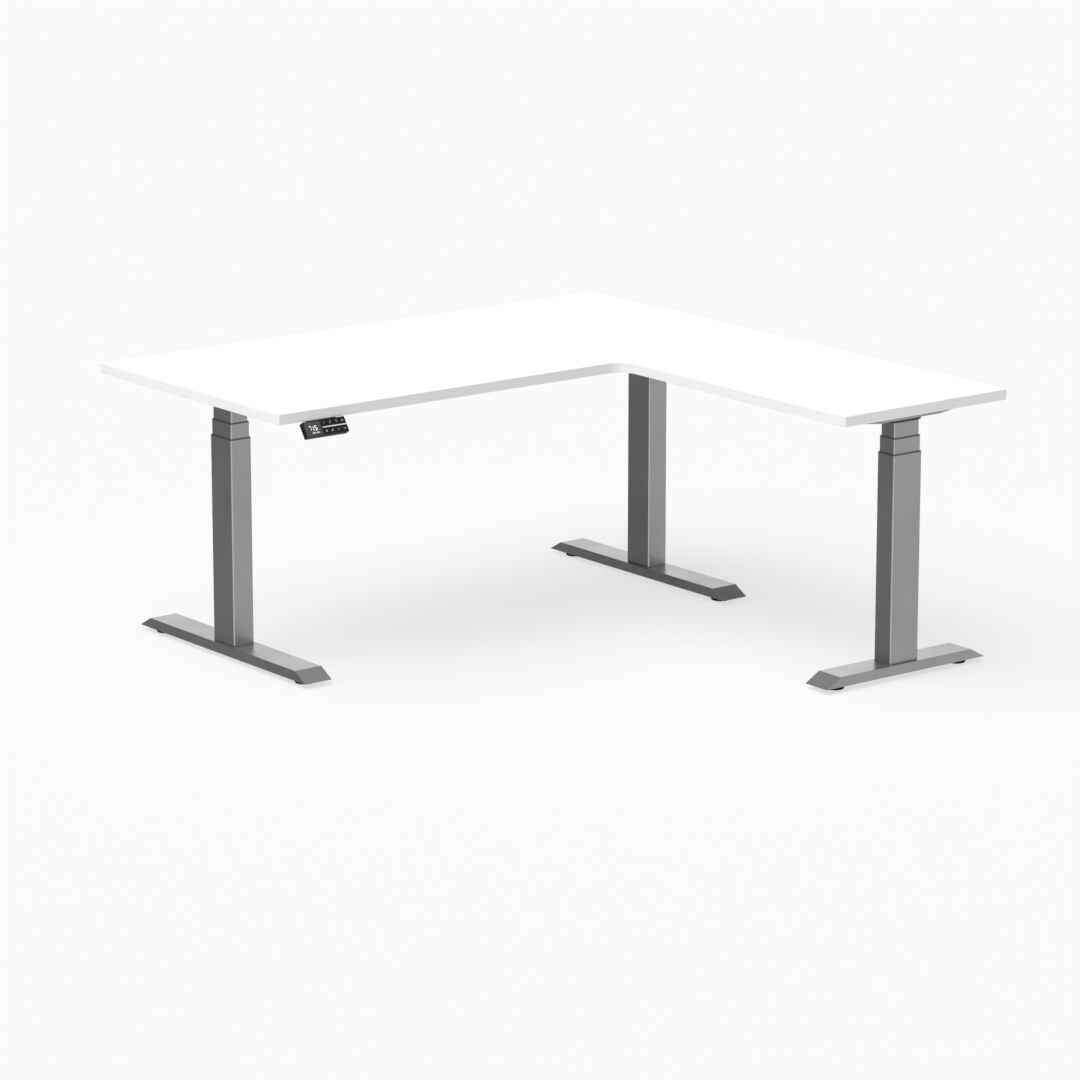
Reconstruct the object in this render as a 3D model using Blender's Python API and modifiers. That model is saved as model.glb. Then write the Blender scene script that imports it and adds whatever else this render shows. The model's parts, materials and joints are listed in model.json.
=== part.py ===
"""L-shaped, height adjustable standing desk on three electric lifting columns.

The board is an L: the main arm runs along X at the back, and the return arm runs towards -Y on
the right. The user sits in the notch between them. Each column is a three-stage telescope on a
T-foot, with a motor at its head. The origin is on the floor, under the middle of the board's box.
Sizes are in metres, and +Z is up.
"""

import math

import bmesh
import bpy
from mathutils import Euler, Vector

# Board
DESK_WIDTH = 1.500            # main arm, along X
DESK_DEPTH = 1.550            # return arm, along Y
MAIN_ARM_DEPTH = 0.750
RETURN_ARM_WIDTH = 0.500
DESK_HEIGHT = 0.665           # top face above the floor, columns as stored
BOARD_THICKNESS = 0.025
BAND_THICKNESS = 0.002
BAND_ROUNDING = 0.0014
INNER_CORNER_RADIUS = 0.045
OUTER_CORNER_RADIUS = 0.003

# Clearance between pieces that touch
GAP = 0.0003

# Places of the columns under the board
MAIN_LEG_INSET = 0.120        # from the board's side edges
RETURN_LEG_INSET = 0.0905     # from the return arm's front edge

# Feet
FOOT_WIDTH = 0.077
FOOT_TOP = 0.036
GLIDE_HEIGHT = 0.012
FOOT_SHEET = 0.0025
FOOT_FOLD_RADIUS = 0.0025
FOOT_END_SLOPE = 0.042        # how far an end leans out from top to bottom
LONG_FOOT_HALF = 0.306        # half of the flat top
SHORT_FOOT_HALF = 0.205
GLIDE_END_INSET = 0.014       # glide axis from the end of the flat top
GLIDE_RADIUS = 0.0235
STUD_RADIUS = 0.004
BOSS_RADIUS = 0.009

# Telescopic columns: X is across the foot, Y is along it
OUTER_SIZE = (0.058, 0.087)
TUBE_STEP = 0.005             # each stage is this much smaller
TUBE_WALL = 0.0015
TUBE_CORNER_RADIUS = 0.005
STAGE_RAISED = 0.0378         # of each stage that stands out of the one below
MID_TUBE_ABOVE_FOOT = 0.030
INNER_TUBE_ABOVE_MID = 0.025
OUTER_END_PLATE = 0.005
MID_END_PLATE = 0.004
COLLAR_FLANGE = 0.0017
COLLAR_SKIRT = 0.030

# Lift drive on each column's axis
BASE_SCREW_RADIUS = 0.005
BASE_SCREW_BELOW_OUTER = 0.035
SPINDLE_RADIUS = 0.012
SPINDLE_ABOVE_MID = 0.0027
SPINDLE_THREAD_LENGTH = 0.025
DRIVE_TUBE_RADIUS = 0.0077
DRIVE_TUBE_BORE = 0.0055
DRIVE_TUBE_ABOVE_THREAD = 0.030
NUT_BLOCK_HEIGHT = 0.015
END_PLATE_BORE_CLEARANCE = 0.001

# Gearbox and motor at the column's head
HEAD_PLATE_SIZE = (0.050, 0.088)
HEAD_PLATE_THICKNESS = 0.006
GEARBOX_SIZE = (0.052, 0.080)
GEARBOX_HEIGHT = 0.0262       # with its head plate
GEARBOX_HEADROOM = 0.0007     # under the support arm's sheet
MOTOR_RADIUS = 0.017
MOTOR_END = 0.150             # from the column's axis

# Brackets and beams under the board
BRACKET_WIDTH = 0.062
BRACKET_SHEET = 0.0025
BRACKET_DROP = 0.0222         # lowest edge below the bracket's top
BRACKET_TIP_DROP = 0.006
BRACKET_FLAT_HALF = 0.095
LONG_BRACKET_HALF = 0.290
SHORT_BRACKET_HALF = 0.220
MOTOR_NOTCH_CLEARANCE = 0.003
BEAM_WIDTH = 0.064
BEAM_HEIGHT = 0.042
BEAM_SHEET = 0.002
BEAM_OVERLAP = 0.250

# Control box
BOX_SIZE = (0.240, 0.095, 0.034)
BOX_BEHIND_BEAM = 0.150
BOX_ROUNDING = 0.003
INLET_SIZE = (0.022, 0.012, 0.016)
INLET_FROM_END = 0.030

# Keypad: X along the board's edge, Y up the slope, Z out of its face
KEYPAD_HEIGHT = 0.0384
KEYPAD_THICKNESS = 0.015
KEYPAD_INSET = 0.120          # centre from the board's left edge
KEYPAD_TILT = math.radians(56)
KEYPAD_PROUD = 0.0035         # face's top edge in front of the board's edge
KEYPAD_RISE = 0.0005          # and above its underside
KEYPAD_ROUNDING = 0.0018
KEYPAD_RIM = 0.0013
DISPLAY_WIDTH = 0.045
DISPLAY_DIVIDER = 0.0018      # between the display and the keys
LENS_THICKNESS = 0.0012
KEY_COLUMNS = 4
KEY_PITCH = 0.0169
KEY_SPACING = 0.0011          # between neighbouring caps
KEY_THICKNESS = 0.0026
KEY_TRAVEL = 0.0008
KEY_STANDS_PROUD = 0.0004
KEY_SIDE_CLEARANCE = 0.0003
KEY_RIB = 0.005               # between the two rows
LUG_SIZE = (0.080, 0.034, 0.003)
LUG_WEB_HEIGHT = 0.0115

# Fineness of round shapes
ROUND_STEPS = 24
RIM_STEPS = 3
ARC_PITCH = 0.004             # of radius, for each step round a rounded corner
LEAST_ARC_STEPS = 4

# Levels and places that follow
BOARD_UNDERSIDE = DESK_HEIGHT - BOARD_THICKNESS
FRAME_TOP = BOARD_UNDERSIDE - GAP
GEARBOX_TOP = FRAME_TOP - BRACKET_SHEET - GEARBOX_HEADROOM
INNER_TUBE_TOP = GEARBOX_TOP - GEARBOX_HEIGHT - GAP
MID_TUBE_TOP = INNER_TUBE_TOP - STAGE_RAISED
OUTER_TUBE_TOP = MID_TUBE_TOP - STAGE_RAISED
BASE_SCREW_TOP = OUTER_TUBE_TOP - BASE_SCREW_BELOW_OUTER
SPINDLE_TOP = MID_TUBE_TOP + SPINDLE_ABOVE_MID
MID_TUBE_BOTTOM = FOOT_TOP + MID_TUBE_ABOVE_FOOT
INNER_TUBE_BOTTOM = MID_TUBE_BOTTOM + INNER_TUBE_ABOVE_MID
SPINDLE_BOTTOM = MID_TUBE_BOTTOM + MID_END_PLATE + GAP
DRIVE_TUBE_BOTTOM = SPINDLE_BOTTOM + SPINDLE_THREAD_LENGTH + DRIVE_TUBE_ABOVE_THREAD
LEFT = -DESK_WIDTH / 2
RIGHT = DESK_WIDTH / 2
FRONT = -DESK_DEPTH / 2
BACK = DESK_DEPTH / 2
MAIN_FRONT = BACK - MAIN_ARM_DEPTH
RETURN_LEFT = RIGHT - RETURN_ARM_WIDTH
FOOT_BOTTOM = GLIDE_HEIGHT + GAP
MAIN_BEAM_Y = (MAIN_FRONT + BACK) / 2
RETURN_BEAM_X = (RETURN_LEFT + RIGHT) / 2
MID_SIZE = (OUTER_SIZE[0] - TUBE_STEP, OUTER_SIZE[1] - TUBE_STEP)
INNER_SIZE = (MID_SIZE[0] - TUBE_STEP, MID_SIZE[1] - TUBE_STEP)
KEY_FIELD_WIDTH = KEY_COLUMNS * KEY_PITCH
KEYPAD_WIDTH = 2 * KEYPAD_RIM + DISPLAY_WIDTH + DISPLAY_DIVIDER + KEY_FIELD_WIDTH
KEY_ROW_HEIGHT = KEYPAD_HEIGHT / 2 - KEYPAD_RIM - KEY_RIB / 2

# name: (x, y, turn about Z, half of the foot's flat top, half of the bracket)
LEGS = {
    "left": (LEFT + MAIN_LEG_INSET, MAIN_BEAM_Y, 0, LONG_FOOT_HALF, LONG_BRACKET_HALF),
    "corner": (RIGHT - MAIN_LEG_INSET, MAIN_BEAM_Y, math.pi, LONG_FOOT_HALF, LONG_BRACKET_HALF),
    "right": (RETURN_BEAM_X, FRONT + RETURN_LEG_INSET, math.pi / 2, SHORT_FOOT_HALF,
              SHORT_BRACKET_HALF),
}


def clear_scene():
    """Remove every object, so that the script can be run again."""
    for obj in list(bpy.data.objects):
        bpy.data.objects.remove(obj, do_unlink=True)


def make_material(name, colour, roughness, metallic=0.0):
    """A Principled material with one colour."""
    material = bpy.data.materials.new(name)
    material.use_nodes = True
    shader = material.node_tree.nodes["Principled BSDF"]
    shader.inputs["Base Color"].default_value = (*colour, 1)
    shader.inputs["Roughness"].default_value = roughness
    shader.inputs["Metallic"].default_value = metallic
    return material


# Shapes: each function returns a mesh object whose modifiers are applied

def link(obj):
    bpy.context.scene.collection.objects.link(obj)
    return obj


def applied(obj):
    """Replace an object by the mesh that it evaluates to, welded and facing outwards."""
    bpy.context.view_layer.update()
    evaluated = obj.evaluated_get(bpy.context.evaluated_depsgraph_get())
    mesh = bpy.data.meshes.new_from_object(evaluated)
    mesh.transform(obj.matrix_world)
    name = obj.name
    bpy.data.objects.remove(obj, do_unlink=True)
    edit = bmesh.new()
    edit.from_mesh(mesh)
    bmesh.ops.remove_doubles(edit, verts=edit.verts, dist=1e-6)
    bmesh.ops.recalc_face_normals(edit, faces=edit.faces)
    edit.to_mesh(mesh)
    edit.free()
    return link(bpy.data.objects.new(name, mesh))


def boolean(obj, other, operation="DIFFERENCE"):
    """Cut, join or intersect two solids, and remove the second."""
    modifier = obj.modifiers.new(operation, "BOOLEAN")
    modifier.operation = operation
    modifier.object = other
    result = applied(obj)
    bpy.data.objects.remove(other, do_unlink=True)
    return result


def box(name, low, high):
    """A box between two opposite corners."""
    mesh = bpy.data.meshes.new(name)
    edit = bmesh.new()
    bmesh.ops.create_cube(edit, size=1)
    size = Vector(high) - Vector(low)
    bmesh.ops.scale(edit, vec=size, verts=edit.verts)
    bmesh.ops.translate(edit, vec=(Vector(high) + Vector(low)) / 2, verts=edit.verts)
    edit.to_mesh(mesh)
    edit.free()
    return link(bpy.data.objects.new(name, mesh))


def centred_box(name, size, bottom, top):
    """A box on the Z axis, from its size across and its two levels."""
    half_x, half_y = size[0] / 2, size[1] / 2
    return box(name, (-half_x, -half_y, bottom), (half_x, half_y, top))


def cylinder(name, radius, start, end, steps=ROUND_STEPS):
    """A cylinder between two points."""
    start, end = Vector(start), Vector(end)
    mesh = bpy.data.meshes.new(name)
    edit = bmesh.new()
    bmesh.ops.create_cone(edit, cap_ends=True, segments=steps, radius1=radius, radius2=radius,
                          depth=(end - start).length)
    turn = (end - start).to_track_quat("Z", "Y").to_matrix()
    bmesh.ops.rotate(edit, matrix=turn, verts=edit.verts)
    bmesh.ops.translate(edit, vec=(start + end) / 2, verts=edit.verts)
    edit.to_mesh(mesh)
    edit.free()
    return link(bpy.data.objects.new(name, mesh))


def turned(name, profile, closed=False, steps=ROUND_STEPS):
    """A shape turned about Z from (radius, height) points that run down its outer side."""
    count = len(profile)
    edges = [(i, i + 1) for i in range(count - 1)]
    if closed:
        edges.append((count - 1, 0))
    mesh = bpy.data.meshes.new(name)
    mesh.from_pydata([(radius, 0, height) for radius, height in profile], edges, [])
    obj = link(bpy.data.objects.new(name, mesh))
    screw = obj.modifiers.new("Turn", "SCREW")
    screw.steps = steps
    screw.render_steps = steps
    screw.use_merge_vertices = True
    screw.merge_threshold = 1e-6
    return applied(obj)


def prism(name, loops, bottom, top):
    """A flat outline, with its holes, given a thickness along Z."""
    curve = bpy.data.curves.new(name, "CURVE")
    curve.dimensions = "2D"
    curve.fill_mode = "BOTH"
    curve.extrude = (top - bottom) / 2
    for loop in loops:
        spline = curve.splines.new("POLY")
        spline.points.add(len(loop) - 1)
        for point, (x, y) in zip(spline.points, loop):
            point.co = (x, y, 0, 1)
        spline.use_cyclic_u = True
    obj = link(bpy.data.objects.new(name, curve))
    obj.location.z = (top + bottom) / 2
    return applied(obj)


def ring(name, sections):
    """A closed ring from loops of points, given in order round its cross-section."""
    count = len(sections[0])
    total = count * len(sections)
    faces = []
    for start in range(0, total, count):
        following = (start + count) % total
        for point in range(count):
            beside = (point + 1) % count
            faces.append((start + point, start + beside, following + beside, following + point))
    mesh = bpy.data.meshes.new(name)
    mesh.from_pydata([point for section in sections for point in section], [], faces)
    return applied(link(bpy.data.objects.new(name, mesh)))


def bevel_edges(obj, width, wanted, segments=2):
    """Round the edges for which wanted(edge) is true."""
    edit = bmesh.new()
    edit.from_mesh(obj.data)
    edges = [edge for edge in edit.edges if wanted(edge)]
    bmesh.ops.bevel(edit, geom=edges, offset=width, offset_type="OFFSET", segments=segments,
                    profile=0.5, affect="EDGES", clamp_overlap=False)
    bmesh.ops.recalc_face_normals(edit, faces=edit.faces)
    edit.to_mesh(obj.data)
    edit.free()
    return obj


def is_sharp(edge):
    return len(edge.link_faces) == 2 and edge.calc_face_angle() > math.radians(30)


# Outlines

def rounded_outline(corners, inset=0.0):
    """Points round a polygon whose corners are (x, y, radius), all moved inwards by the inset."""
    points = []
    count = len(corners)
    for index, (x, y, radius) in enumerate(corners):
        corner = Vector((x, y))
        before = (Vector(corners[index - 1][:2]) - corner).normalized()
        after = (Vector(corners[(index + 1) % count][:2]) - corner).normalized()
        corner_angle = before.angle(after)
        inward = (before + after).normalized()
        along = (after - before).normalized()
        centre = corner + inward * (radius / math.sin(corner_angle / 2))
        arc_radius = radius + inset if before.cross(after) > 0 else radius - inset
        sweep = math.pi - corner_angle
        steps = max(LEAST_ARC_STEPS, round(radius / ARC_PITCH))
        for step in range(steps + 1):
            angle = sweep * (step / steps - 0.5)
            direction = along * math.sin(angle) - inward * math.cos(angle)
            points.append(tuple(centre + direction * arc_radius))
    return points


def rectangle(size, radius):
    """A rounded rectangle about the origin."""
    half_x, half_y = size[0] / 2, size[1] / 2
    return rounded_outline([(-half_x, -half_y, radius), (half_x, -half_y, radius),
                            (half_x, half_y, radius), (-half_x, half_y, radius)])


def grown(size, amount):
    """A size with the amount added on each side."""
    return (size[0] + 2 * amount, size[1] + 2 * amount)


def board_outline(inset):
    """The L of the board, inset from its finished edge."""
    outer = OUTER_CORNER_RADIUS
    corners = [
        (LEFT, MAIN_FRONT, outer),
        (RETURN_LEFT, MAIN_FRONT, INNER_CORNER_RADIUS),
        (RETURN_LEFT, FRONT, outer),
        (RIGHT, FRONT, outer),
        (RIGHT, BACK, outer),
        (LEFT, BACK, outer),
    ]
    return rounded_outline(corners, inset)


# Board

def make_board():
    inset = BAND_THICKNESS + GAP
    return prism("desktop_panel", [board_outline(inset)], BOARD_UNDERSIDE, DESK_HEIGHT)


def make_edge_band():
    """The strip round the board, with its two outer rims rounded."""
    upper, lower = [], []
    for step in range(RIM_STEPS + 1):
        angle = math.pi / 2 * step / RIM_STEPS
        near = BAND_ROUNDING * (1 - math.sin(angle))
        far = BAND_ROUNDING * (1 - math.cos(angle))
        upper.append((near, DESK_HEIGHT - far))
        lower.append((far, BOARD_UNDERSIDE + near))
    inner_face = [(BAND_THICKNESS, BOARD_UNDERSIDE), (BAND_THICKNESS, DESK_HEIGHT)]
    sections = [[(x, y, level) for x, y in board_outline(inset)]
                for inset, level in inner_face + upper + lower]
    return ring("desktop_edge_band", sections)


# Feet and glides

def leaning_block(name, half_width, half_length, bottom, top):
    """A block along Y whose ends lean out downwards at the foot's slope, from its length at the top."""
    lean = FOOT_END_SLOPE / (FOOT_TOP - FOOT_BOTTOM) * (top - bottom)
    block = box(name, (-half_width, -half_length, bottom), (half_width, half_length, top))
    for vertex in block.data.vertices:
        if vertex.co.z < (bottom + top) / 2:
            vertex.co.y += math.copysign(lean, vertex.co.y)
    return block


def make_foot(name, half):
    """A folded steel channel, open below, with leaning ends and a boss over each glide."""
    foot = leaning_block(name, FOOT_WIDTH / 2, half, FOOT_BOTTOM, FOOT_TOP)
    foot = bevel_edges(foot, FOOT_FOLD_RADIUS, lambda edge: is_sharp(edge)
                       and max(edge.verts[0].co.z, edge.verts[1].co.z) > FOOT_BOTTOM + GAP, segments=3)
    slope = FOOT_END_SLOPE / (FOOT_TOP - FOOT_BOTTOM)
    end_sheet = FOOT_SHEET * math.hypot(1, slope)
    hollow_half = half + slope * FOOT_SHEET - end_sheet
    hollow = leaning_block("hollow", FOOT_WIDTH / 2 - FOOT_SHEET, hollow_half, 0, FOOT_TOP - FOOT_SHEET)
    foot = boolean(foot, hollow)
    for side in (-1, 1):
        y = side * (half - GLIDE_END_INSET)
        boss_bottom = FOOT_BOTTOM + FOOT_SHEET
        boss_top = FOOT_TOP - FOOT_SHEET / 2
        boss = cylinder("boss", BOSS_RADIUS, (0, y, boss_bottom), (0, y, boss_top))
        foot = boolean(foot, boss, "UNION")
    for side in (-1, 1):
        y = side * (half - GLIDE_END_INSET)
        bore_top = FOOT_TOP - 2 * FOOT_SHEET + GAP
        bore = cylinder("bore", STUD_RADIUS + GAP, (0, y, 0), (0, y, bore_top))
        foot = boolean(foot, bore)
    return foot


def make_glide():
    """A moulded pad with its threaded stud, about its own axis."""
    stud_top = FOOT_TOP - 2 * FOOT_SHEET
    edge = 0.0015
    profile = [
        (0, stud_top),
        (STUD_RADIUS, stud_top),
        (STUD_RADIUS, GLIDE_HEIGHT),
        (0.45 * GLIDE_RADIUS, GLIDE_HEIGHT),
        (0.85 * GLIDE_RADIUS, GLIDE_HEIGHT - edge),
        (GLIDE_RADIUS, GLIDE_HEIGHT - 3 * edge),
        (GLIDE_RADIUS, edge),
        (GLIDE_RADIUS - edge, 0),
        (0, 0),
    ]
    return turned("glide", profile)


# Columns: every shape here stands on its column's axis, with the foot along Y

def make_tube(name, size, bottom, top, end_plate=0, plate_bore=0):
    """A rounded rectangular tube, with or without a plate across its lower end."""
    tube = prism(name, [rectangle(size, TUBE_CORNER_RADIUS)], bottom, top)
    bore_bottom = bottom + end_plate if end_plate else bottom - 0.01
    bore_radius = TUBE_CORNER_RADIUS - TUBE_WALL
    bore = prism("bore", [rectangle(grown(size, -TUBE_WALL), bore_radius)], bore_bottom, top + 0.01)
    tube = boolean(tube, bore)
    if plate_bore:
        hole = cylinder("hole", plate_bore, (0, 0, bottom - 0.01), (0, 0, bore_bottom + 0.01))
        tube = boolean(tube, hole)
    return tube


def make_collar(name, holder_size, slider_size, holder_top):
    """The moulded guide in a tube's mouth: a flange on the rim, and a skirt in the gap."""
    bore_size = grown(holder_size, -TUBE_WALL)
    skirt_size = grown(bore_size, -GAP)
    hole_size = grown(slider_size, GAP)
    flange_bottom = holder_top + GAP
    flange_top = flange_bottom + COLLAR_FLANGE
    skirt_bottom = holder_top - COLLAR_SKIRT
    skirt_radius = TUBE_CORNER_RADIUS - TUBE_WALL - GAP
    flange = prism(name, [rectangle(holder_size, TUBE_CORNER_RADIUS)], flange_bottom, flange_top)
    middle = (flange_bottom + flange_top) / 2
    skirt = prism("skirt", [rectangle(skirt_size, skirt_radius)], skirt_bottom, middle)
    collar = boolean(flange, skirt, "UNION")
    hole = prism("hole", [rectangle(hole_size, TUBE_CORNER_RADIUS + GAP)], skirt_bottom - 0.01,
                 flange_top + 0.01)
    return boolean(collar, hole)


def make_base_screw():
    """The fixed screw that stands on the foot end of the column."""
    bottom = FOOT_TOP + GAP + OUTER_END_PLATE + GAP
    tip = BASE_SCREW_RADIUS / 2
    profile = [
        (0, BASE_SCREW_TOP),
        (BASE_SCREW_RADIUS - tip, BASE_SCREW_TOP),
        (BASE_SCREW_RADIUS, BASE_SCREW_TOP - tip),
        (BASE_SCREW_RADIUS, bottom + MID_END_PLATE),
        (2 * BASE_SCREW_RADIUS, bottom + MID_END_PLATE),
        (2 * BASE_SCREW_RADIUS, bottom),
        (0, bottom),
    ]
    return turned("base_screw", profile)


def make_spindle():
    """The turning screw of the middle stage: threaded on the base screw and in the top's nut."""
    bottom = SPINDLE_BOTTOM
    thread_top = bottom + SPINDLE_THREAD_LENGTH
    wide_bore = DRIVE_TUBE_RADIUS + GAP
    narrow_bore = BASE_SCREW_RADIUS + GAP
    profile = [
        (wide_bore, SPINDLE_TOP),
        (SPINDLE_RADIUS, SPINDLE_TOP),
        (SPINDLE_RADIUS, bottom),
        (narrow_bore, bottom),
        (narrow_bore, thread_top),
        (wide_bore, thread_top),
    ]
    return turned("spindle", profile, closed=True)


def make_drive_tube():
    """The splined tube that the motor turns, sliding in the spindle."""
    top = INNER_TUBE_TOP
    profile = [
        (DRIVE_TUBE_BORE, top),
        (DRIVE_TUBE_RADIUS, top),
        (DRIVE_TUBE_RADIUS, DRIVE_TUBE_BOTTOM),
        (DRIVE_TUBE_BORE, DRIVE_TUBE_BOTTOM),
    ]
    return turned("drive_tube", profile, closed=True)


def make_lift_nut():
    """The nut block in the inner tube's lower end."""
    size = grown(INNER_SIZE, -TUBE_WALL - GAP)
    radius = TUBE_CORNER_RADIUS - TUBE_WALL - GAP
    top = INNER_TUBE_BOTTOM + NUT_BLOCK_HEIGHT
    block = prism("lift_nut", [rectangle(size, radius)], INNER_TUBE_BOTTOM, top)
    hole = cylinder("hole", SPINDLE_RADIUS + GAP, (0, 0, INNER_TUBE_BOTTOM - 0.01), (0, 0, top + 0.01))
    return boolean(block, hole)


def make_motor():
    """Head plate on the inner tube, gearbox above it, and the motor lying along the beam."""
    plate_bottom = INNER_TUBE_TOP + GAP
    plate_top = plate_bottom + HEAD_PLATE_THICKNESS
    plate = prism("motor", [rectangle(HEAD_PLATE_SIZE, TUBE_CORNER_RADIUS)], plate_bottom, plate_top)
    plate = bevel_edges(plate, HEAD_PLATE_THICKNESS / 3, lambda edge: is_sharp(edge)
                        and edge.verts[0].co.z + edge.verts[1].co.z < 2 * plate_bottom + GAP)
    gearbox = centred_box("gearbox", GEARBOX_SIZE, plate_top - HEAD_PLATE_THICKNESS / 3, GEARBOX_TOP)
    motor = boolean(plate, gearbox, "UNION")
    level = GEARBOX_TOP - MOTOR_RADIUS
    barrel = cylinder("barrel", MOTOR_RADIUS, (GEARBOX_SIZE[0] / 4, 0, level), (MOTOR_END, 0, level))
    barrel = bevel_edges(barrel, MOTOR_RADIUS / 6, lambda edge: is_sharp(edge)
                         and min(edge.verts[0].co.x, edge.verts[1].co.x) > MOTOR_END - GAP)
    clear_of_column = box("clear", (GEARBOX_SIZE[0] / 4 - GAP, -MOTOR_RADIUS, level - 2 * MOTOR_RADIUS),
                          (GEARBOX_SIZE[0] / 2, MOTOR_RADIUS, plate_bottom))
    barrel = boolean(barrel, clear_of_column)
    return boolean(motor, barrel, "UNION")


def make_bracket(name, half):
    """The board's support on a column: a channel with tapered sides, open below."""
    low = FRAME_TOP - BRACKET_DROP
    tip = FRAME_TOP - BRACKET_TIP_DROP
    side = [
        (-half, FRAME_TOP), (-half, tip), (-BRACKET_FLAT_HALF, low),
        (BRACKET_FLAT_HALF, low), (half, tip), (half, FRAME_TOP),
    ]
    bracket = prism(name, [side], -BRACKET_WIDTH / 2, BRACKET_WIDTH / 2)
    bracket.rotation_euler = Euler((math.pi / 2, 0, math.pi / 2))
    bracket = applied(bracket)
    inside = BRACKET_WIDTH / 2 - BRACKET_SHEET
    under_top = FRAME_TOP - BRACKET_SHEET
    hollow = box("hollow", (-inside, -2 * half, 0), (inside, 2 * half, under_top))
    bracket = boolean(bracket, hollow)
    notch_half = MOTOR_RADIUS + MOTOR_NOTCH_CLEARANCE
    notch = box("notch", (0, -notch_half, 0), (BRACKET_WIDTH, notch_half, under_top))
    return boolean(bracket, notch)


# Beams

def make_channel(name, start, end, width, height, floor):
    """A channel along X that is open at the top, from its ends and the level of its floor."""
    half = width / 2
    channel = box(name, (start, -half, floor), (end, half, floor + height))
    hollow = box("hollow", (start - 0.01, -half + BEAM_SHEET, floor + BEAM_SHEET),
                 (end + 0.01, half - BEAM_SHEET, floor + height + 0.01))
    return boolean(channel, hollow)


def make_beam_pair(length):
    """Two channels, one sliding in the other, that span a length from the origin along X."""
    middle = length / 2
    floor = FRAME_TOP - BEAM_HEIGHT
    step = BEAM_SHEET + GAP
    outer = make_channel("outer", 0, middle + BEAM_OVERLAP / 2, BEAM_WIDTH, BEAM_HEIGHT, floor)
    inner = make_channel("inner", middle - BEAM_OVERLAP / 2, length, BEAM_WIDTH - 2 * step,
                         BEAM_HEIGHT - step, floor + step)
    return outer, inner


# Control box and keypad

def make_control_box():
    """A moulded box with the mains inlet at one end of its back face."""
    width, depth, height = BOX_SIZE
    case = centred_box("control_box", (width, depth), FRAME_TOP - height, FRAME_TOP)
    case = bevel_edges(case, BOX_ROUNDING, is_sharp)
    inlet_x, inlet_depth, inlet_z = INLET_SIZE
    x = width / 2 - INLET_FROM_END
    level = FRAME_TOP - height / 2
    inlet = box("inlet", (x - inlet_x / 2, depth / 2 - inlet_depth, level - inlet_z / 2),
                (x + inlet_x / 2, depth, level + inlet_z / 2))
    return boolean(case, inlet)


def keypad_place():
    """The centre of the keypad's face."""
    up_slope = Vector((0, math.cos(KEYPAD_TILT), math.sin(KEYPAD_TILT)))
    top_edge = Vector((LEFT + KEYPAD_INSET, MAIN_FRONT - KEYPAD_PROUD, BOARD_UNDERSIDE + KEYPAD_RISE))
    return top_edge - up_slope * (KEYPAD_HEIGHT / 2)


def key_row_centre():
    """How far the middle of a row of keys is from the middle of the face."""
    return (KEY_RIB + KEY_ROW_HEIGHT) / 2


def key_column_centre(column):
    """Where a column of keys is along the face, the last one against the right rim."""
    last = KEYPAD_WIDTH / 2 - KEYPAD_RIM - KEY_PITCH / 2
    return last - (KEY_COLUMNS - 1 - column) * KEY_PITCH


def make_keypad_housing():
    """The tilted case, with pockets for the lens and the keys, and a lug under the board."""
    width, height, depth = KEYPAD_WIDTH, KEYPAD_HEIGHT, KEYPAD_THICKNESS
    case = box("keypad_housing", (-width / 2, -height / 2, -depth), (width / 2, height / 2, 0))
    case = bevel_edges(case, KEYPAD_ROUNDING, is_sharp)
    lens_left = -width / 2 + KEYPAD_RIM
    lens_half = height / 2 - KEYPAD_RIM
    lens_pocket = box("lens_pocket", (lens_left, -lens_half, -LENS_THICKNESS - GAP),
                      (lens_left + DISPLAY_WIDTH, lens_half, depth))
    case = boolean(case, lens_pocket)
    row_right = width / 2 - KEYPAD_RIM
    row_floor = KEY_STANDS_PROUD - KEY_THICKNESS - KEY_TRAVEL - GAP
    for side in (-1, 1):
        y = side * key_row_centre()
        pocket = box("pocket", (row_right - KEY_FIELD_WIDTH, y - KEY_ROW_HEIGHT / 2, row_floor),
                     (row_right, y + KEY_ROW_HEIGHT / 2, depth))
        case = boolean(case, pocket)
    case.location = keypad_place()
    case.rotation_euler.x = KEYPAD_TILT
    case = applied(case)
    inward = Vector((0, math.sin(KEYPAD_TILT), -math.cos(KEYPAD_TILT)))
    up_slope = Vector((0, math.cos(KEYPAD_TILT), math.sin(KEYPAD_TILT)))
    back_edge = keypad_place() + inward * depth + up_slope * (height / 2)
    lug_x, lug_y, lug_z = LUG_SIZE
    web_back = back_edge.y - KEYPAD_ROUNDING
    web_front = web_back - lug_z
    x = back_edge.x
    web = box("web", (x - lug_x / 2, web_front, FRAME_TOP - LUG_WEB_HEIGHT),
              (x + lug_x / 2, web_back, FRAME_TOP - lug_z / 2))
    case = boolean(case, web, "UNION")
    lug = box("lug", (x - lug_x / 2, web_front, FRAME_TOP - lug_z),
              (x + lug_x / 2, web_front + lug_y, FRAME_TOP))
    return boolean(case, lug, "UNION")


def make_keypad_lens():
    """The dark window over the height display."""
    left = -KEYPAD_WIDTH / 2 + KEYPAD_RIM + GAP
    right = left + DISPLAY_WIDTH - 2 * GAP
    half = KEYPAD_HEIGHT / 2 - KEYPAD_RIM - GAP
    return box("keypad_lens", (left, -half, -LENS_THICKNESS), (right, half, 0))


def make_key():
    """One key cap about its own centre, with its top face at the origin's level."""
    size = (KEY_PITCH - KEY_SPACING, KEY_ROW_HEIGHT - 2 * KEY_SIDE_CLEARANCE)
    key = centred_box("key", size, -KEY_THICKNESS, 0)
    upright = bevel_edges(key, 0.001, lambda edge: is_sharp(edge)
                          and abs(edge.verts[0].co.z - edge.verts[1].co.z) > GAP)
    return bevel_edges(upright, 0.0003, lambda edge: is_sharp(edge)
                       and min(edge.verts[0].co.z, edge.verts[1].co.z) > -GAP, segments=1)


# Assembly

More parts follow.
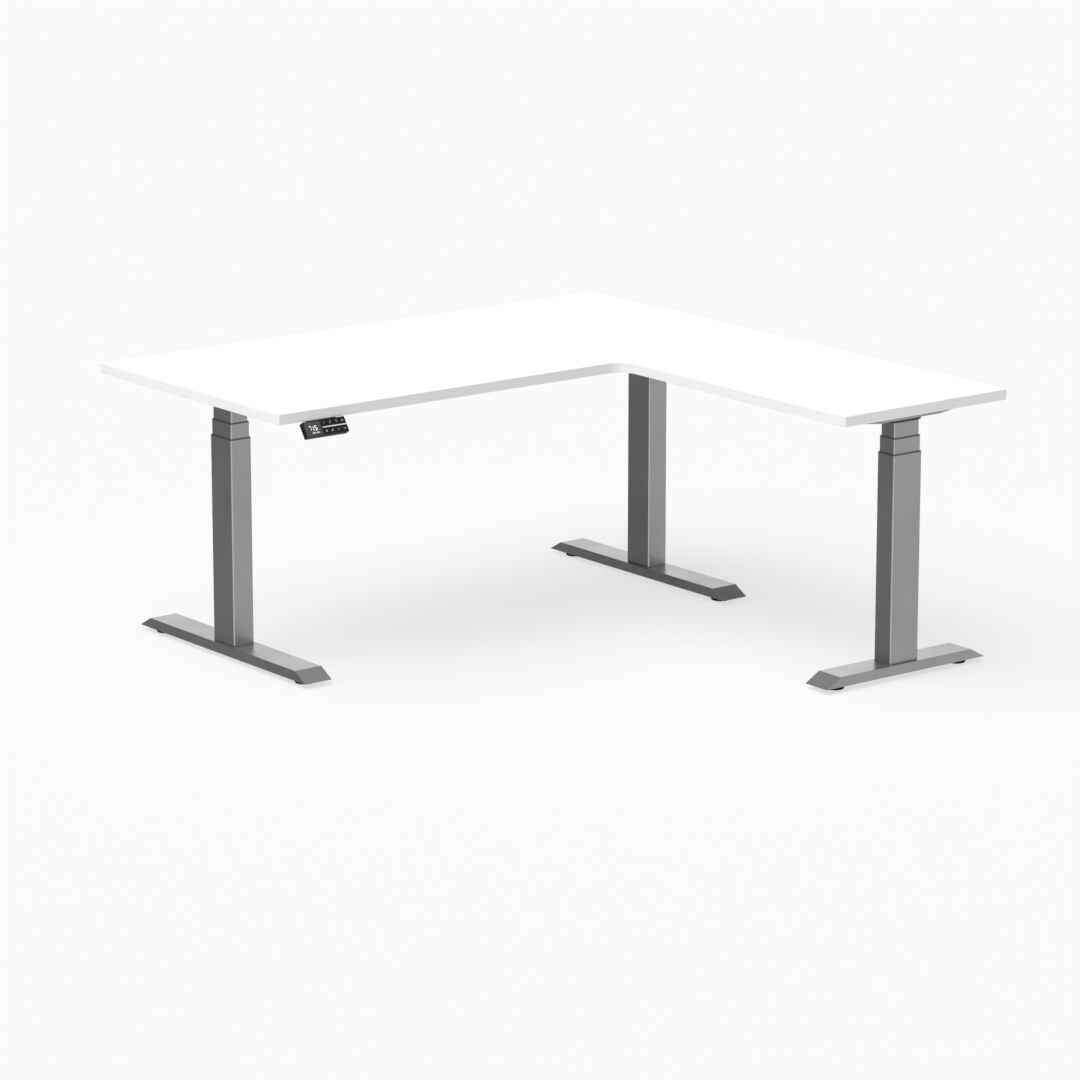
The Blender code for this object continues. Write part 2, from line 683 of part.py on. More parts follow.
class Assembly:
    """Places shapes as named pieces in the desk's collection."""

    def __init__(self):
        self.collection = bpy.data.collections.new("standing_desk")
        bpy.context.scene.collection.children.link(self.collection)

    def axis(self, name, location, turn=0.0):
        """An empty that stands for a column's axis."""
        empty = bpy.data.objects.new(name, None)
        empty.location = location
        empty.rotation_euler.z = turn
        self.collection.objects.link(empty)
        return empty

    def add(self, shape, name, material, location=(0, 0, 0), parent=None, tilt=0.0, turn=0.0):
        """A piece with its own place and material, on a mesh that others may share."""
        piece = bpy.data.objects.new(name, shape.data)
        piece.location = location
        piece.rotation_euler = Euler((tilt, 0, turn))
        piece.parent = parent
        if not shape.data.materials:
            shape.data.materials.append(None)
            shape.data.shade_smooth()
            shape.data.set_sharp_from_angle(angle=math.radians(30))
        self.collection.objects.link(piece)
        piece.material_slots[0].link = "OBJECT"
        piece.material_slots[0].material = material.copy()
        piece.material_slots[0].material.name = name
        return piece


def main():
    clear_scene()
    desk = Assembly()
    shapes = []

    def shape(obj):
        obj.name += "_shape"
        shapes.append(obj)
        return obj

    melamine = make_material("white_melamine", (0.92, 0.92, 0.92), 0.45)
    steel = make_material("powder_coated_steel", (0.16, 0.16, 0.165), 0.42, 0.55)
    bright_steel = make_material("bright_steel", (0.55, 0.56, 0.58), 0.3, 1.0)
    nylon = make_material("black_nylon", (0.02, 0.02, 0.021), 0.55)
    plastic = make_material("black_plastic", (0.035, 0.035, 0.037), 0.5)
    acetal = make_material("white_acetal", (0.75, 0.75, 0.72), 0.5)
    glossy = make_material("smoked_lens", (0.045, 0.045, 0.048), 0.15)
    casting = make_material("gearbox_casting", (0.10, 0.10, 0.105), 0.5, 0.3)

    desk.add(shape(make_board()), "desktop_panel", melamine)
    desk.add(shape(make_edge_band()), "desktop_edge_band", melamine)

    glide = shape(make_glide())
    outer_bottom = FOOT_TOP + GAP
    column_pieces = [
        (shape(make_tube("outer_tube", OUTER_SIZE, outer_bottom, OUTER_TUBE_TOP, OUTER_END_PLATE)),
         "outer_tube", steel),
        (shape(make_tube("mid_tube", MID_SIZE, MID_TUBE_BOTTOM, MID_TUBE_TOP, MID_END_PLATE,
                         BASE_SCREW_RADIUS + END_PLATE_BORE_CLEARANCE)),
         "mid_tube", steel),
        (shape(make_tube("inner_tube", INNER_SIZE, INNER_TUBE_BOTTOM, INNER_TUBE_TOP)),
         "inner_tube", steel),
        (shape(make_collar("outer_collar", OUTER_SIZE, MID_SIZE, OUTER_TUBE_TOP)),
         "outer_collar", nylon),
        (shape(make_collar("mid_collar", MID_SIZE, INNER_SIZE, MID_TUBE_TOP)),
         "mid_collar", nylon),
        (shape(make_base_screw()), "base_screw", bright_steel),
        (shape(make_spindle()), "spindle", bright_steel),
        (shape(make_drive_tube()), "drive_tube", bright_steel),
        (shape(make_lift_nut()), "lift_nut", acetal),
        (shape(make_motor()), "motor", casting),
    ]
    for leg, (x, y, turn, foot_half, bracket_half) in LEGS.items():
        axis = desk.axis(f"{leg}_column_axis", (x, y, 0), turn)
        desk.add(shape(make_foot("foot", foot_half)), f"foot_{leg}", steel, parent=axis)
        for side, end in ((-1, "a"), (1, "b")):
            place = (0, side * (foot_half - GLIDE_END_INSET), 0)
            desk.add(glide, f"glide_{leg}_{end}", nylon, place, parent=axis)
        for piece, name, material in column_pieces:
            desk.add(piece, f"{name}_{leg}", material, parent=axis)
        bracket = shape(make_bracket("bracket", bracket_half))
        desk.add(bracket, f"support_arm_{leg}", steel, parent=axis)

    from_bracket = BRACKET_WIDTH / 2 + GAP
    main_start = LEGS["left"][0] + from_bracket
    main_length = LEGS["corner"][0] - from_bracket - main_start
    outer, inner = make_beam_pair(main_length)
    desk.add(shape(outer), "main_beam_outer", steel, (main_start, MAIN_BEAM_Y, 0))
    desk.add(shape(inner), "main_beam_inner", steel, (main_start, MAIN_BEAM_Y, 0))
    return_start = LEGS["right"][1] + from_bracket
    inner_half = BEAM_WIDTH / 2 - BEAM_SHEET - GAP
    return_length = MAIN_BEAM_Y - inner_half - GAP - return_start
    outer, inner = make_beam_pair(return_length)
    place = (RETURN_BEAM_X, return_start, 0)
    desk.add(shape(outer), "return_beam_outer", steel, place, turn=math.pi / 2)
    desk.add(shape(inner), "return_beam_inner", steel, place, turn=math.pi / 2)

    box_place = (0, MAIN_BEAM_Y + BOX_BEHIND_BEAM, 0)
    desk.add(shape(make_control_box()), "control_box", plastic, box_place)

    face = keypad_place()
    desk.add(shape(make_keypad_housing()), "keypad_housing", plastic)
    lens = shape(make_keypad_lens())
    desk.add(lens, "keypad_lens", glossy, face, tilt=KEYPAD_TILT)
    key = shape(make_key())
    outward = Vector((0, -math.sin(KEYPAD_TILT), math.cos(KEYPAD_TILT)))
    up_slope = Vector((0, math.cos(KEYPAD_TILT), math.sin(KEYPAD_TILT)))
    for side, row in ((1, "upper"), (-1, "lower")):
        for column in range(KEY_COLUMNS):
            place = face + outward * KEY_STANDS_PROUD + up_slope * (side * key_row_centre())
            place.x += key_column_centre(column)
            desk.add(key, f"key_{row}_{column + 1}", plastic, place, tilt=KEYPAD_TILT)

    for obj in shapes:
        bpy.data.objects.remove(obj, do_unlink=True)


main()
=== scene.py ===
"""Finished look of an L-shaped, height adjustable standing desk on three lifting columns.

The frame holds every solid at its place, in metres, with +Z up. Each operator models finer
pieces that stand for some of those solids, or gives the others their finish.
"""
import json
import math
from contextlib import contextmanager

import bmesh
import bpy
from bpy.props import FloatProperty, FloatVectorProperty, IntProperty, PointerProperty
from mathutils import Matrix, Vector


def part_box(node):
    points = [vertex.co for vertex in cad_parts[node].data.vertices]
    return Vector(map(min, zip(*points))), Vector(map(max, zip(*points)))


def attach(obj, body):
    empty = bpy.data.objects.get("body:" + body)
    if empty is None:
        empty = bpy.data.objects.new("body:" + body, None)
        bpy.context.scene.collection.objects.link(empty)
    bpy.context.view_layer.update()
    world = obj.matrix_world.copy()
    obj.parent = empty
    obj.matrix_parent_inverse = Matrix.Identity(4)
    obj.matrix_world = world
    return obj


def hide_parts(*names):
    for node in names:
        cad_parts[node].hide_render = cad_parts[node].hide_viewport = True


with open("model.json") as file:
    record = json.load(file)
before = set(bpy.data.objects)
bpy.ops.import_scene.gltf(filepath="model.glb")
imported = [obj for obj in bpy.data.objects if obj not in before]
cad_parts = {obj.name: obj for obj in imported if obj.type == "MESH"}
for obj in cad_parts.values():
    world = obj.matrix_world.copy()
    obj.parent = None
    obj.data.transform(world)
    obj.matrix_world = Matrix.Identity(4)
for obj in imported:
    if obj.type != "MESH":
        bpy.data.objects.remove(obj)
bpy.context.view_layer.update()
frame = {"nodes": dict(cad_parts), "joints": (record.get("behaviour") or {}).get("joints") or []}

bl_info = {
    "name": "L-shaped Standing Desk",
    "version": (1, 0, 0),
    "blender": (4, 5, 0),
    "location": "3D View > Sidebar > Desk",
    "description": "Models the finished look of an L-shaped, height adjustable desk",
    "category": "Add Mesh",
}

LEGS = ("left", "corner", "right")
TINY = 1e-5


# Facts from the frame

def span(node):
    """A solid's lowest corner, highest corner and size."""
    low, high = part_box(node)
    return low, high, high - low


def node_points(node):
    return [vertex.co for vertex in frame["nodes"][node].data.vertices]


def extent(points):
    """The lowest and highest corners of the box round some points."""
    low = Vector(min(point[axis] for point in points) for axis in range(3))
    high = Vector(max(point[axis] for point in points) for axis in range(3))
    return low, high


def leg_place(leg):
    """Where a column stands, turned so that its motor points along +X."""
    low, high, _ = span(f"outer_tube_{leg}")
    motor_low, motor_high, _ = span(f"motor_{leg}")
    centre = (low + high) / 2
    reach = (motor_low + motor_high) / 2 - centre
    quarter_turns = round(math.atan2(reach.y, reach.x) / (math.pi / 2))
    place = Matrix.Translation((centre.x, centre.y, 0))
    return place @ Matrix.Rotation(quarter_turns * math.pi / 2, 4, "Z")


def leg_span(node, leg):
    """A solid's lowest and highest corners in its column's own frame."""
    inward = leg_place(leg).inverted()
    return extent([inward @ point for point in node_points(node)])


def keypad_place():
    """The keypad's own frame: X along the board's edge, Y up its slope, Z out of its face."""
    press = next(joint for joint in frame["joints"] if joint["name"] == "key_upper_1_press")
    outward = -Vector(press["axis"]).normalized()
    along = Vector((1, 0, 0))
    up_slope = outward.cross(along)
    turn = Matrix((along, up_slope, outward)).transposed().to_4x4()
    low, high = extent([turn.inverted() @ point for point in node_points("keypad_lens")])
    face = Vector((low.x, (low.y + high.y) / 2, high.z))
    return Matrix.Translation(turn @ face) @ turn


def keypad_span(node):
    """A solid's lowest and highest corners in the keypad's own frame."""
    inward = keypad_place().inverted()
    return extent([inward @ point for point in node_points(node)])


# Modelling tools

def deselect():
    for obj in bpy.context.selected_objects:
        obj.select_set(False)


def activate(obj):
    deselect()
    obj.select_set(True)
    bpy.context.view_layer.objects.active = obj


def discard(*objects):
    for obj in objects:
        bpy.data.objects.remove(obj, do_unlink=True)


def named(name):
    """The primitive that was just added, with its place in its mesh."""
    obj = bpy.context.active_object
    obj.name = name
    obj.data.name = name
    obj.data.materials.clear()
    bpy.ops.object.transform_apply(location=True, rotation=True, scale=True)
    return obj


def block(name, low, high):
    """A cube primitive between two opposite corners."""
    low, high = Vector(low), Vector(high)
    deselect()
    bpy.ops.mesh.primitive_cube_add(size=1, location=(low + high) / 2, scale=high - low)
    return named(name)


def rod(name, radius, start, end, sides=32):
    """A cylinder primitive between two points."""
    start, end = Vector(start), Vector(end)
    turn = (end - start).to_track_quat("Z", "Y").to_euler()
    deselect()
    bpy.ops.mesh.primitive_cylinder_add(
        vertices=sides, radius=radius, depth=(end - start).length,
        location=(start + end) / 2, rotation=turn)
    return named(name)


@contextmanager
def edit_mode(obj):
    """Edit one object's mesh, with nothing selected at the start."""
    activate(obj)
    bpy.ops.object.mode_set(mode="EDIT")
    bpy.ops.mesh.select_all(action="DESELECT")
    yield
    bpy.ops.object.mode_set(mode="OBJECT")


def pick(kind, wanted):
    """Select the VERT, EDGE or FACE elements of the edited mesh that wanted(element) accepts."""
    bpy.ops.mesh.select_mode(type=kind)
    bpy.ops.mesh.select_all(action="DESELECT")
    mesh = bpy.context.edit_object.data
    edit = bmesh.from_edit_mesh(mesh)
    elements = {"VERT": edit.verts, "EDGE": edit.edges, "FACE": edit.faces}[kind]
    chosen = [element for element in elements if wanted(element)]
    if not chosen:
        raise RuntimeError(f"nothing to select on {bpy.context.edit_object.name}")
    for element in chosen:
        element.select_set(True)
    edit.select_flush_mode()
    bmesh.update_edit_mesh(mesh)


def facing(x, y, z):
    """A test for faces that point along a direction."""
    direction = Vector((x, y, z)).normalized()
    return lambda face: face.normal.dot(direction) > 0.999


def middle(edge):
    return (edge.verts[0].co + edge.verts[1].co) / 2


def runs_along(edge, axis):
    """Whether an edge lies along one axis."""
    run = edge.verts[1].co - edge.verts[0].co
    return abs(run[axis]) > 0.999 * run.length


def inset(thickness, depth=0.0, individual=False):
    bpy.ops.mesh.inset(thickness=thickness, depth=depth, use_even_offset=True,
                       use_individual=individual)


def extrude(x, y, z):
    bpy.ops.mesh.extrude_region_move(TRANSFORM_OT_translate={"value": (x, y, z)})


def resize(x, y, z, centre=(0, 0, 0)):
    bpy.ops.transform.resize(value=(x, y, z), center_override=centre)


def bevel(width, segments):
    bpy.ops.mesh.bevel(offset=width, offset_type="OFFSET", segments=segments, affect="EDGES",
                       clamp_overlap=False, profile=0.5)


def round_uprights(radius, segments):
    """Bevel the edges of the edited mesh that run along Z."""
    pick("EDGE", lambda edge: runs_along(edge, 2))
    bevel(radius, segments)


def cut_across(point, normal):
    """Divide the whole edited mesh at a plane."""
    bpy.ops.mesh.select_all(action="SELECT")
    bpy.ops.mesh.bisect(plane_co=point, plane_no=normal)


def merge_flat_faces():
    bpy.ops.mesh.select_all(action="SELECT")
    bpy.ops.mesh.dissolve_limited(angle_limit=math.radians(1))


def face_outwards():
    bpy.ops.mesh.select_all(action="SELECT")
    bpy.ops.mesh.normals_make_consistent(inside=False)


def bridge_open_rims():
    """Delete the selected faces and close the solid with a wall between their rims."""
    bpy.ops.mesh.delete(type="FACE")
    pick("EDGE", lambda edge: edge.is_boundary)
    bpy.ops.mesh.bridge_edge_loops()


def turned(name, profile, sides=48):
    """A shape spun about Z from (radius, height) points."""
    deselect()
    bpy.ops.mesh.primitive_plane_add(size=0.001)
    obj = named(name)
    with edit_mode(obj):
        bpy.ops.mesh.select_mode(type="VERT")
        bpy.ops.mesh.select_all(action="SELECT")
        bpy.ops.mesh.merge(type="CENTER")
        radius, height = profile[0]
        bpy.ops.transform.translate(value=(radius, 0, height))
        for next_radius, next_height in profile[1:]:
            step = (next_radius - radius, 0, next_height - height)
            bpy.ops.mesh.extrude_vertices_move(TRANSFORM_OT_translate={"value": step})
            radius, height = next_radius, next_height
        bpy.ops.mesh.select_all(action="SELECT")
        bpy.ops.mesh.spin(steps=sides, angle=math.tau, center=(0, 0, 0), axis=(0, 0, 1))
        bpy.ops.mesh.select_all(action="SELECT")
        bpy.ops.mesh.remove_doubles(threshold=TINY / 2)
        face_outwards()
    return obj


def apply_modifier(obj, kind, **values):
    """Add a modifier with its values, and apply it."""
    activate(obj)
    modifier = obj.modifiers.new(kind.title(), kind)
    for name, value in values.items():
        setattr(modifier, name, value)
    bpy.ops.object.modifier_apply(modifier=modifier.name)
    return obj


def combine(obj, tool, operation="DIFFERENCE"):
    """Cut or join a solid with a second one, and remove the second."""
    apply_modifier(obj, "BOOLEAN", operation=operation, object=tool, solver="EXACT")
    discard(tool)
    return obj


def soften(obj, width, segments=2):
    """Round the sharp edges of a whole solid."""
    return apply_modifier(obj, "BEVEL", width=width, segments=segments, limit_method="ANGLE",
                          angle_limit=math.radians(40), use_clamp_overlap=True)


def duplicate(obj, name):
    """A copy with its own mesh."""
    twin = obj.copy()
    twin.data = obj.data.copy()
    twin.name = name
    twin.data.name = name
    bpy.context.scene.collection.objects.link(twin)
    return twin


def join(name, pieces):
    """Several pieces as one object."""
    activate(pieces[0])
    for piece in pieces[1:]:
        piece.select_set(True)
    if len(pieces) > 1:
        bpy.ops.object.join()
    pieces[0].name = name
    pieces[0].data.name = name
    return pieces[0]


def moved(obj, matrix):
    """The same object with a placement put into its mesh."""
    activate(obj)
    obj.matrix_world = matrix
    bpy.ops.object.transform_apply(location=True, rotation=True, scale=True)
    return obj


def finer_copy(node, name, rounding):
    """A frame solid's mesh, merged and with its sharp edges rounded."""
    obj = bpy.data.objects.new(name, frame["nodes"][node].data.copy())
    obj.data.materials.clear()
    bpy.context.scene.collection.objects.link(obj)
    with edit_mode(obj):
        bpy.ops.mesh.select_all(action="SELECT")
        bpy.ops.mesh.remove_doubles(threshold=TINY / 10)
        merge_flat_faces()
    return soften(obj, rounding)


def finish(obj, material, body, stands_for=(), smooth=30):
    """Shade a finished piece, give it its material, and hang it on its body."""
    if not obj.data.polygons:
        raise RuntimeError(f"{obj.name} has no faces")
    activate(obj)
    bpy.ops.object.shade_smooth_by_angle(angle=math.radians(smooth))
    apply_modifier(obj, "WEIGHTED_NORMAL", keep_sharp=True, weight=80)
    obj.data.materials.clear()
    obj.data.materials.append(material)
    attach(obj, body)
    if stands_for:
        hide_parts(*stands_for)
    return obj


def repaint(nodes, material):
    """Give frame solids their finish."""
    for node in nodes:
        solid = frame["nodes"][node]
        solid.data.materials.clear()
        solid.data.materials.append(material)


# Shared shader groups

def new_group(name, inputs, outputs):
    """An empty shader group, from {socket name: (socket type, default)} and {name: type}."""
    group = bpy.data.node_groups.new(name, "ShaderNodeTree")
    for label, (kind, default) in inputs.items():
        socket = group.interface.new_socket(name=label, in_out="INPUT", socket_type=kind)
        if default is not None:
            socket.default_value = default
    for label, kind in outputs.items():
        group.interface.new_socket(name=label, in_out="OUTPUT", socket_type=kind)
    entry = group.nodes.new("NodeGroupInput")
    leave = group.nodes.new("NodeGroupOutput")
    return group, entry, leave


def add_node(tree, kind, values=None, **settings):
    """A node with its settings, and its unlinked inputs set by name or number."""
    node = tree.nodes.new(kind)
    for name, value in settings.items():
        setattr(node, name, value)
    for key, value in (values or {}).items():
        node.inputs[key].default_value = value
    return node


def wire(tree, *links):
    """Link sockets, each link given as (node, output, node, input)."""
    for source, output, target, entry in links:
        tree.links.new(source.outputs[output], target.inputs[entry])


def surface_texture_group():
    """Moulded or sprayed texture: soft cells with a finer grain over them, as a height."""
    name = "Surface Texture"
    if name in bpy.data.node_groups:
        return bpy.data.node_groups[name]
    inputs = {
        "Vector": ("NodeSocketVector", None),
        "Scale": ("NodeSocketFloat", 900.0),
        "Stretch": ("NodeSocketVector", (1.0, 1.0, 1.0)),
        "Grain": ("NodeSocketFloat", 0.4),
    }
    group, entry, leave = new_group(name, inputs, {"Height": "NodeSocketFloat"})
    stretched = add_node(group, "ShaderNodeVectorMath", operation="MULTIPLY")
    cells = add_node(group, "ShaderNodeTexVoronoi", {"Randomness": 0.9}, feature="SMOOTH_F1")
    double = add_node(group, "ShaderNodeMath", {1: 2.7}, operation="MULTIPLY")
    noise = add_node(group, "ShaderNodeTexNoise", {"Detail": 3.0, "Roughness": 0.55})
    blend = add_node(group, "ShaderNodeMix", data_type="FLOAT")
    wire(
        group, (entry, "Vector", stretched, 0), (entry, "Stretch", stretched, 1),
        (stretched, 0, cells, "Vector"), (stretched, 0, noise, "Vector"),
        (entry, "Scale", cells, "Scale"), (entry, "Scale", double, 0),
        (double, 0, noise, "Scale"), (entry, "Grain", blend, "Factor"),
        (cells, "Distance", blend, "A"), (noise, "Fac", blend, "B"),
        (blend, "Result", leave, "Height"),
    )
    return group


def handling_group():
    """Broad, faint variation from handling and spraying, between two values."""
    name = "Handling Variation"
    if name in bpy.data.node_groups:
        return bpy.data.node_groups[name]
    inputs = {
        "Vector": ("NodeSocketVector", None),
        "Scale": ("NodeSocketFloat", 6.0),
        "Low": ("NodeSocketFloat", 0.4),
        "High": ("NodeSocketFloat", 0.5),
    }
    outputs = {"Value": "NodeSocketFloat", "Mask": "NodeSocketFloat"}
    group, entry, leave = new_group(name, inputs, outputs)
    noise = add_node(group, "ShaderNodeTexNoise",
                     {"Detail": 4.0, "Roughness": 0.6, "Distortion": 0.4})
    spread = add_node(group, "ShaderNodeMapRange", {"From Min": 0.3, "From Max": 0.7},
                      interpolation_type="SMOOTHSTEP")
    levels = add_node(group, "ShaderNodeMapRange", {"From Min": 0.0, "From Max": 1.0})
    wire(
        group, (entry, "Vector", noise, "Vector"), (entry, "Scale", noise, "Scale"),
        (noise, "Fac", spread, "Value"), (spread, "Result", levels, "Value"),
        (entry, "Low", levels, "To Min"), (entry, "High", levels, "To Max"),
        (levels, "Result", leave, "Value"), (spread, "Result", leave, "Mask"),
    )
    return group


def edge_wear_group():
    """A mask along outer edges, broken up by noise."""
    name = "Edge Wear"
    if name in bpy.data.node_groups:
        return bpy.data.node_groups[name]
    inputs = {
        "Vector": ("NodeSocketVector", None),
        "Amount": ("NodeSocketFloat", 0.5),
        "Breakup": ("NodeSocketFloat", 60.0),
    }
    group, entry, leave = new_group(name, inputs, {"Mask": "NodeSocketFloat"})
    rounded = add_node(group, "ShaderNodeBevel", {"Radius": 0.0012}, samples=4)
    surface = add_node(group, "ShaderNodeNewGeometry")
    agree = add_node(group, "ShaderNodeVectorMath", operation="DOT_PRODUCT")
    edge = add_node(group, "ShaderNodeMapRange", {"From Min": 0.995, "From Max": 0.88})
    noise = add_node(group, "ShaderNodeTexNoise", {"Detail": 5.0, "Roughness": 0.7})
    broken = add_node(group, "ShaderNodeMapRange", {"From Min": 0.42, "From Max": 0.62})
    worn = add_node(group, "ShaderNodeMath", operation="MULTIPLY")
    scaled = add_node(group, "ShaderNodeMath", operation="MULTIPLY", use_clamp=True)
    wire(
        group, (rounded, "Normal", agree, 0), (surface, "Normal", agree, 1),
        (agree, "Value", edge, "Value"), (entry, "Vector", noise, "Vector"),
        (entry, "Breakup", noise, "Scale"), (noise, "Fac", broken, "Value"),
        (edge, "Result", worn, 0), (broken, "Result", worn, 1), (worn, "Value", scaled, 0),
        (entry, "Amount", scaled, 1), (scaled, "Value", leave, "Mask"),
    )
    return group


# Materials

def toned(colour, factor):
    """A colour made lighter or darker, as RGBA."""
    return tuple(min(1.0, channel * factor) for channel in colour[:3]) + (1.0,)


def finish_material(name, colour, roughness, metallic=0.0, specular=0.5, texture_scale=900.0,
                    texture_depth=0.00001, texture_strength=0.3, stretch=(1.0, 1.0, 1.0),
                    grain=0.4, patches=6.0, mottle=0.04, wear=0.0, worn=1.8, coat=0.0):
    """A finish with its texture, faint variation and worn edges."""
    if name in bpy.data.materials:
        return bpy.data.materials[name]
    material = bpy.data.materials.new(name)
    material.use_nodes = True
    tree = material.node_tree
    shader = tree.nodes["Principled BSDF"]
    shader.inputs["Metallic"].default_value = metallic
    shader.inputs["Specular IOR Level"].default_value = specular
    shader.inputs["Coat Weight"].default_value = coat
    shader.inputs["Coat Roughness"].default_value = 0.15
    place = add_node(tree, "ShaderNodeTexCoord")
    texture = add_node(tree, "ShaderNodeGroup", node_tree=surface_texture_group(), values={
        "Scale": texture_scale, "Stretch": stretch, "Grain": grain})
    bump = add_node(tree, "ShaderNodeBump",
                    {"Strength": texture_strength, "Distance": texture_depth})
    handling = add_node(tree, "ShaderNodeGroup", node_tree=handling_group(), values={
        "Scale": patches, "Low": roughness[0], "High": roughness[1]})
    tone = add_node(tree, "ShaderNodeMix", data_type="RGBA", values={
        "A": toned(colour, 1 - mottle), "B": toned(colour, 1 + mottle)})
    wire(
        tree, (place, "Object", texture, "Vector"), (texture, "Height", bump, "Height"),
        (bump, "Normal", shader, "Normal"), (place, "Object", handling, "Vector"),
        (handling, "Value", shader, "Roughness"), (handling, "Mask", tone, "Factor"),
    )
    if wear:
        edges = add_node(tree, "ShaderNodeGroup", node_tree=edge_wear_group(),
                         values={"Amount": wear})
        rubbed = add_node(tree, "ShaderNodeMix", data_type="RGBA", values={
            "B": toned(colour, worn)})
        wire(
            tree, (place, "Object", edges, "Vector"), (edges, "Mask", rubbed, "Factor"),
            (tone, "Result", rubbed, "A"), (rubbed, "Result", shader, "Base Color"),
        )
    else:
        wire(tree, (tone, "Result", shader, "Base Color"))
    return material


def melamine():
    settings = bpy.context.scene.desk_board
    return finish_material("white_melamine_face", settings.colour, (0.36, 0.46),
                           texture_scale=1400, texture_strength=0.18, texture_depth=0.00002,
                           grain=0.55, patches=3.0, mottle=0.006)


def edge_banding():
    settings = bpy.context.scene.desk_board
    return finish_material("white_edge_banding", settings.colour, (0.30, 0.40), texture_scale=2200,
                           texture_strength=0.12, texture_depth=0.00001, grain=0.7, patches=5.0,
                           mottle=0.008)


def powder_coat():
    settings = bpy.context.scene.desk_frame
    return finish_material("dark_grey_powder_coat", settings.colour, (0.30, 0.38), metallic=0.75,
                           texture_scale=750, texture_strength=0.35, texture_depth=0.00003,
                           grain=0.35, patches=5.0, mottle=0.05, wear=0.35, worn=1.6)


def moulded_black(name="fine_moulded_black", colour=(0.022, 0.022, 0.023), scale=1800):
    return finish_material(name, colour, (0.45, 0.58), specular=0.2, texture_scale=scale,
                           texture_strength=0.4, texture_depth=0.00002, grain=0.5,
                           patches=18.0, mottle=0.08, wear=0.25, worn=1.9)


def black_nylon():
    return finish_material("ribbed_black_nylon", (0.006, 0.006, 0.0063), (0.62, 0.74),
                           specular=0.08, texture_scale=1200, texture_strength=0.5,
                           texture_depth=0.00003, grain=0.6, patches=25.0, mottle=0.1,
                           wear=0.2, worn=2.2)


def grey_acetal():
    return finish_material("grey_acetal", (0.07, 0.07, 0.072), (0.45, 0.58), specular=0.4,
                           texture_scale=1200, texture_strength=0.4, texture_depth=0.00002,
                           grain=0.5, patches=30.0, mottle=0.08, wear=0.15, worn=1.8)


def zinc_plated():
    return finish_material("zinc_plated_steel", (0.58, 0.59, 0.6), (0.24, 0.38), metallic=1.0,
                           texture_scale=1600, texture_strength=0.15, texture_depth=0.00001,
                           patches=60.0, mottle=0.06, wear=0.3, worn=1.3)


def ground_steel():
    return finish_material("ground_bright_steel", (0.55, 0.56, 0.58), (0.2, 0.32), metallic=1.0,
                           texture_scale=900, texture_strength=0.2, texture_depth=0.00001,
                           stretch=(1.0, 1.0, 12.0), grain=0.8, patches=30.0, mottle=0.05)


def white_acetal():
    return finish_material("machined_white_acetal", (0.75, 0.75, 0.72), (0.4, 0.5),
                           texture_scale=700, texture_strength=0.25, texture_depth=0.00002,
                           stretch=(1.0, 1.0, 8.0), grain=0.8, patches=20.0, mottle=0.03)


def gearbox_casting():
    return finish_material("black_coated_casting", (0.045, 0.045, 0.047), (0.42, 0.58),
                           metallic=0.3, texture_scale=420, texture_strength=0.6,
                           texture_depth=0.00006, grain=0.5, patches=22.0, mottle=0.12,
                           wear=0.5, worn=2.5)


def smoked_window():
    return finish_material("smoked_window", (0.045, 0.045, 0.047), (0.2, 0.32), texture_scale=2600,
                           texture_strength=0.06, texture_depth=0.00001, grain=0.6, patches=40.0,
                           mottle=0.03, coat=0.15)


def printed_white():
    return finish_material("printed_white", (0.85, 0.85, 0.85), (0.4, 0.5), texture_scale=3000,
                           texture_strength=0.15, texture_depth=0.00001, patches=60.0, mottle=0.02)


def lit_segments():
    """White light emitting segments, a little uneven."""
    name = "lit_segments"
    if name in bpy.data.materials:
        return bpy.data.materials[name]
    material = bpy.data.materials.new(name)
    material.use_nodes = True
    tree = material.node_tree
    shader = tree.nodes["Principled BSDF"]
    shader.inputs["Roughness"].default_value = 0.4
    shader.inputs["Emission Strength"].default_value = 0.85
    place = add_node(tree, "ShaderNodeTexCoord")
    handling = add_node(tree, "ShaderNodeGroup", node_tree=handling_group(),
                        values={"Scale": 400.0})
    glow = add_node(tree, "ShaderNodeMix", data_type="RGBA", values={
        "A": (0.86, 0.9, 0.92, 1), "B": (1.0, 1.0, 1.0, 1)})
    wire(
        tree, (place, "Object", handling, "Vector"), (handling, "Mask", glow, "Factor"),
        (glow, "Result", shader, "Emission Color"), (glow, "Result", shader, "Base Color"),
    )
    return material


# Settings

class DeskBoardSettings(bpy.types.PropertyGroup):
    """The board and its edge band."""

    colour: FloatVectorProperty(name="Board Colour", description="Colour of the melamine face",
                                default=(0.9, 0.9, 0.9), subtype="COLOR", min=0, max=1)
    band_thickness: FloatProperty(name="Band Thickness", description="Thickness of the edge band",
                                  default=0.002, min=0.0005, max=0.005, unit="LENGTH")
    rim_rounding: FloatProperty(name="Rim Rounding", description="Radius of the band's outer rims",
                                default=0.0014, min=0.0002, max=0.003, unit="LENGTH")
    inner_corner_radius: FloatProperty(
        name="Inner Corner", description="Radius of the corner in the user's notch",
        default=0.045, min=0.005, max=0.2, unit="LENGTH")
    outer_corner_radius: FloatProperty(
        name="Outer Corners", description="Radius of the outer corners",
        default=0.003, min=0.0021, max=0.05, unit="LENGTH")


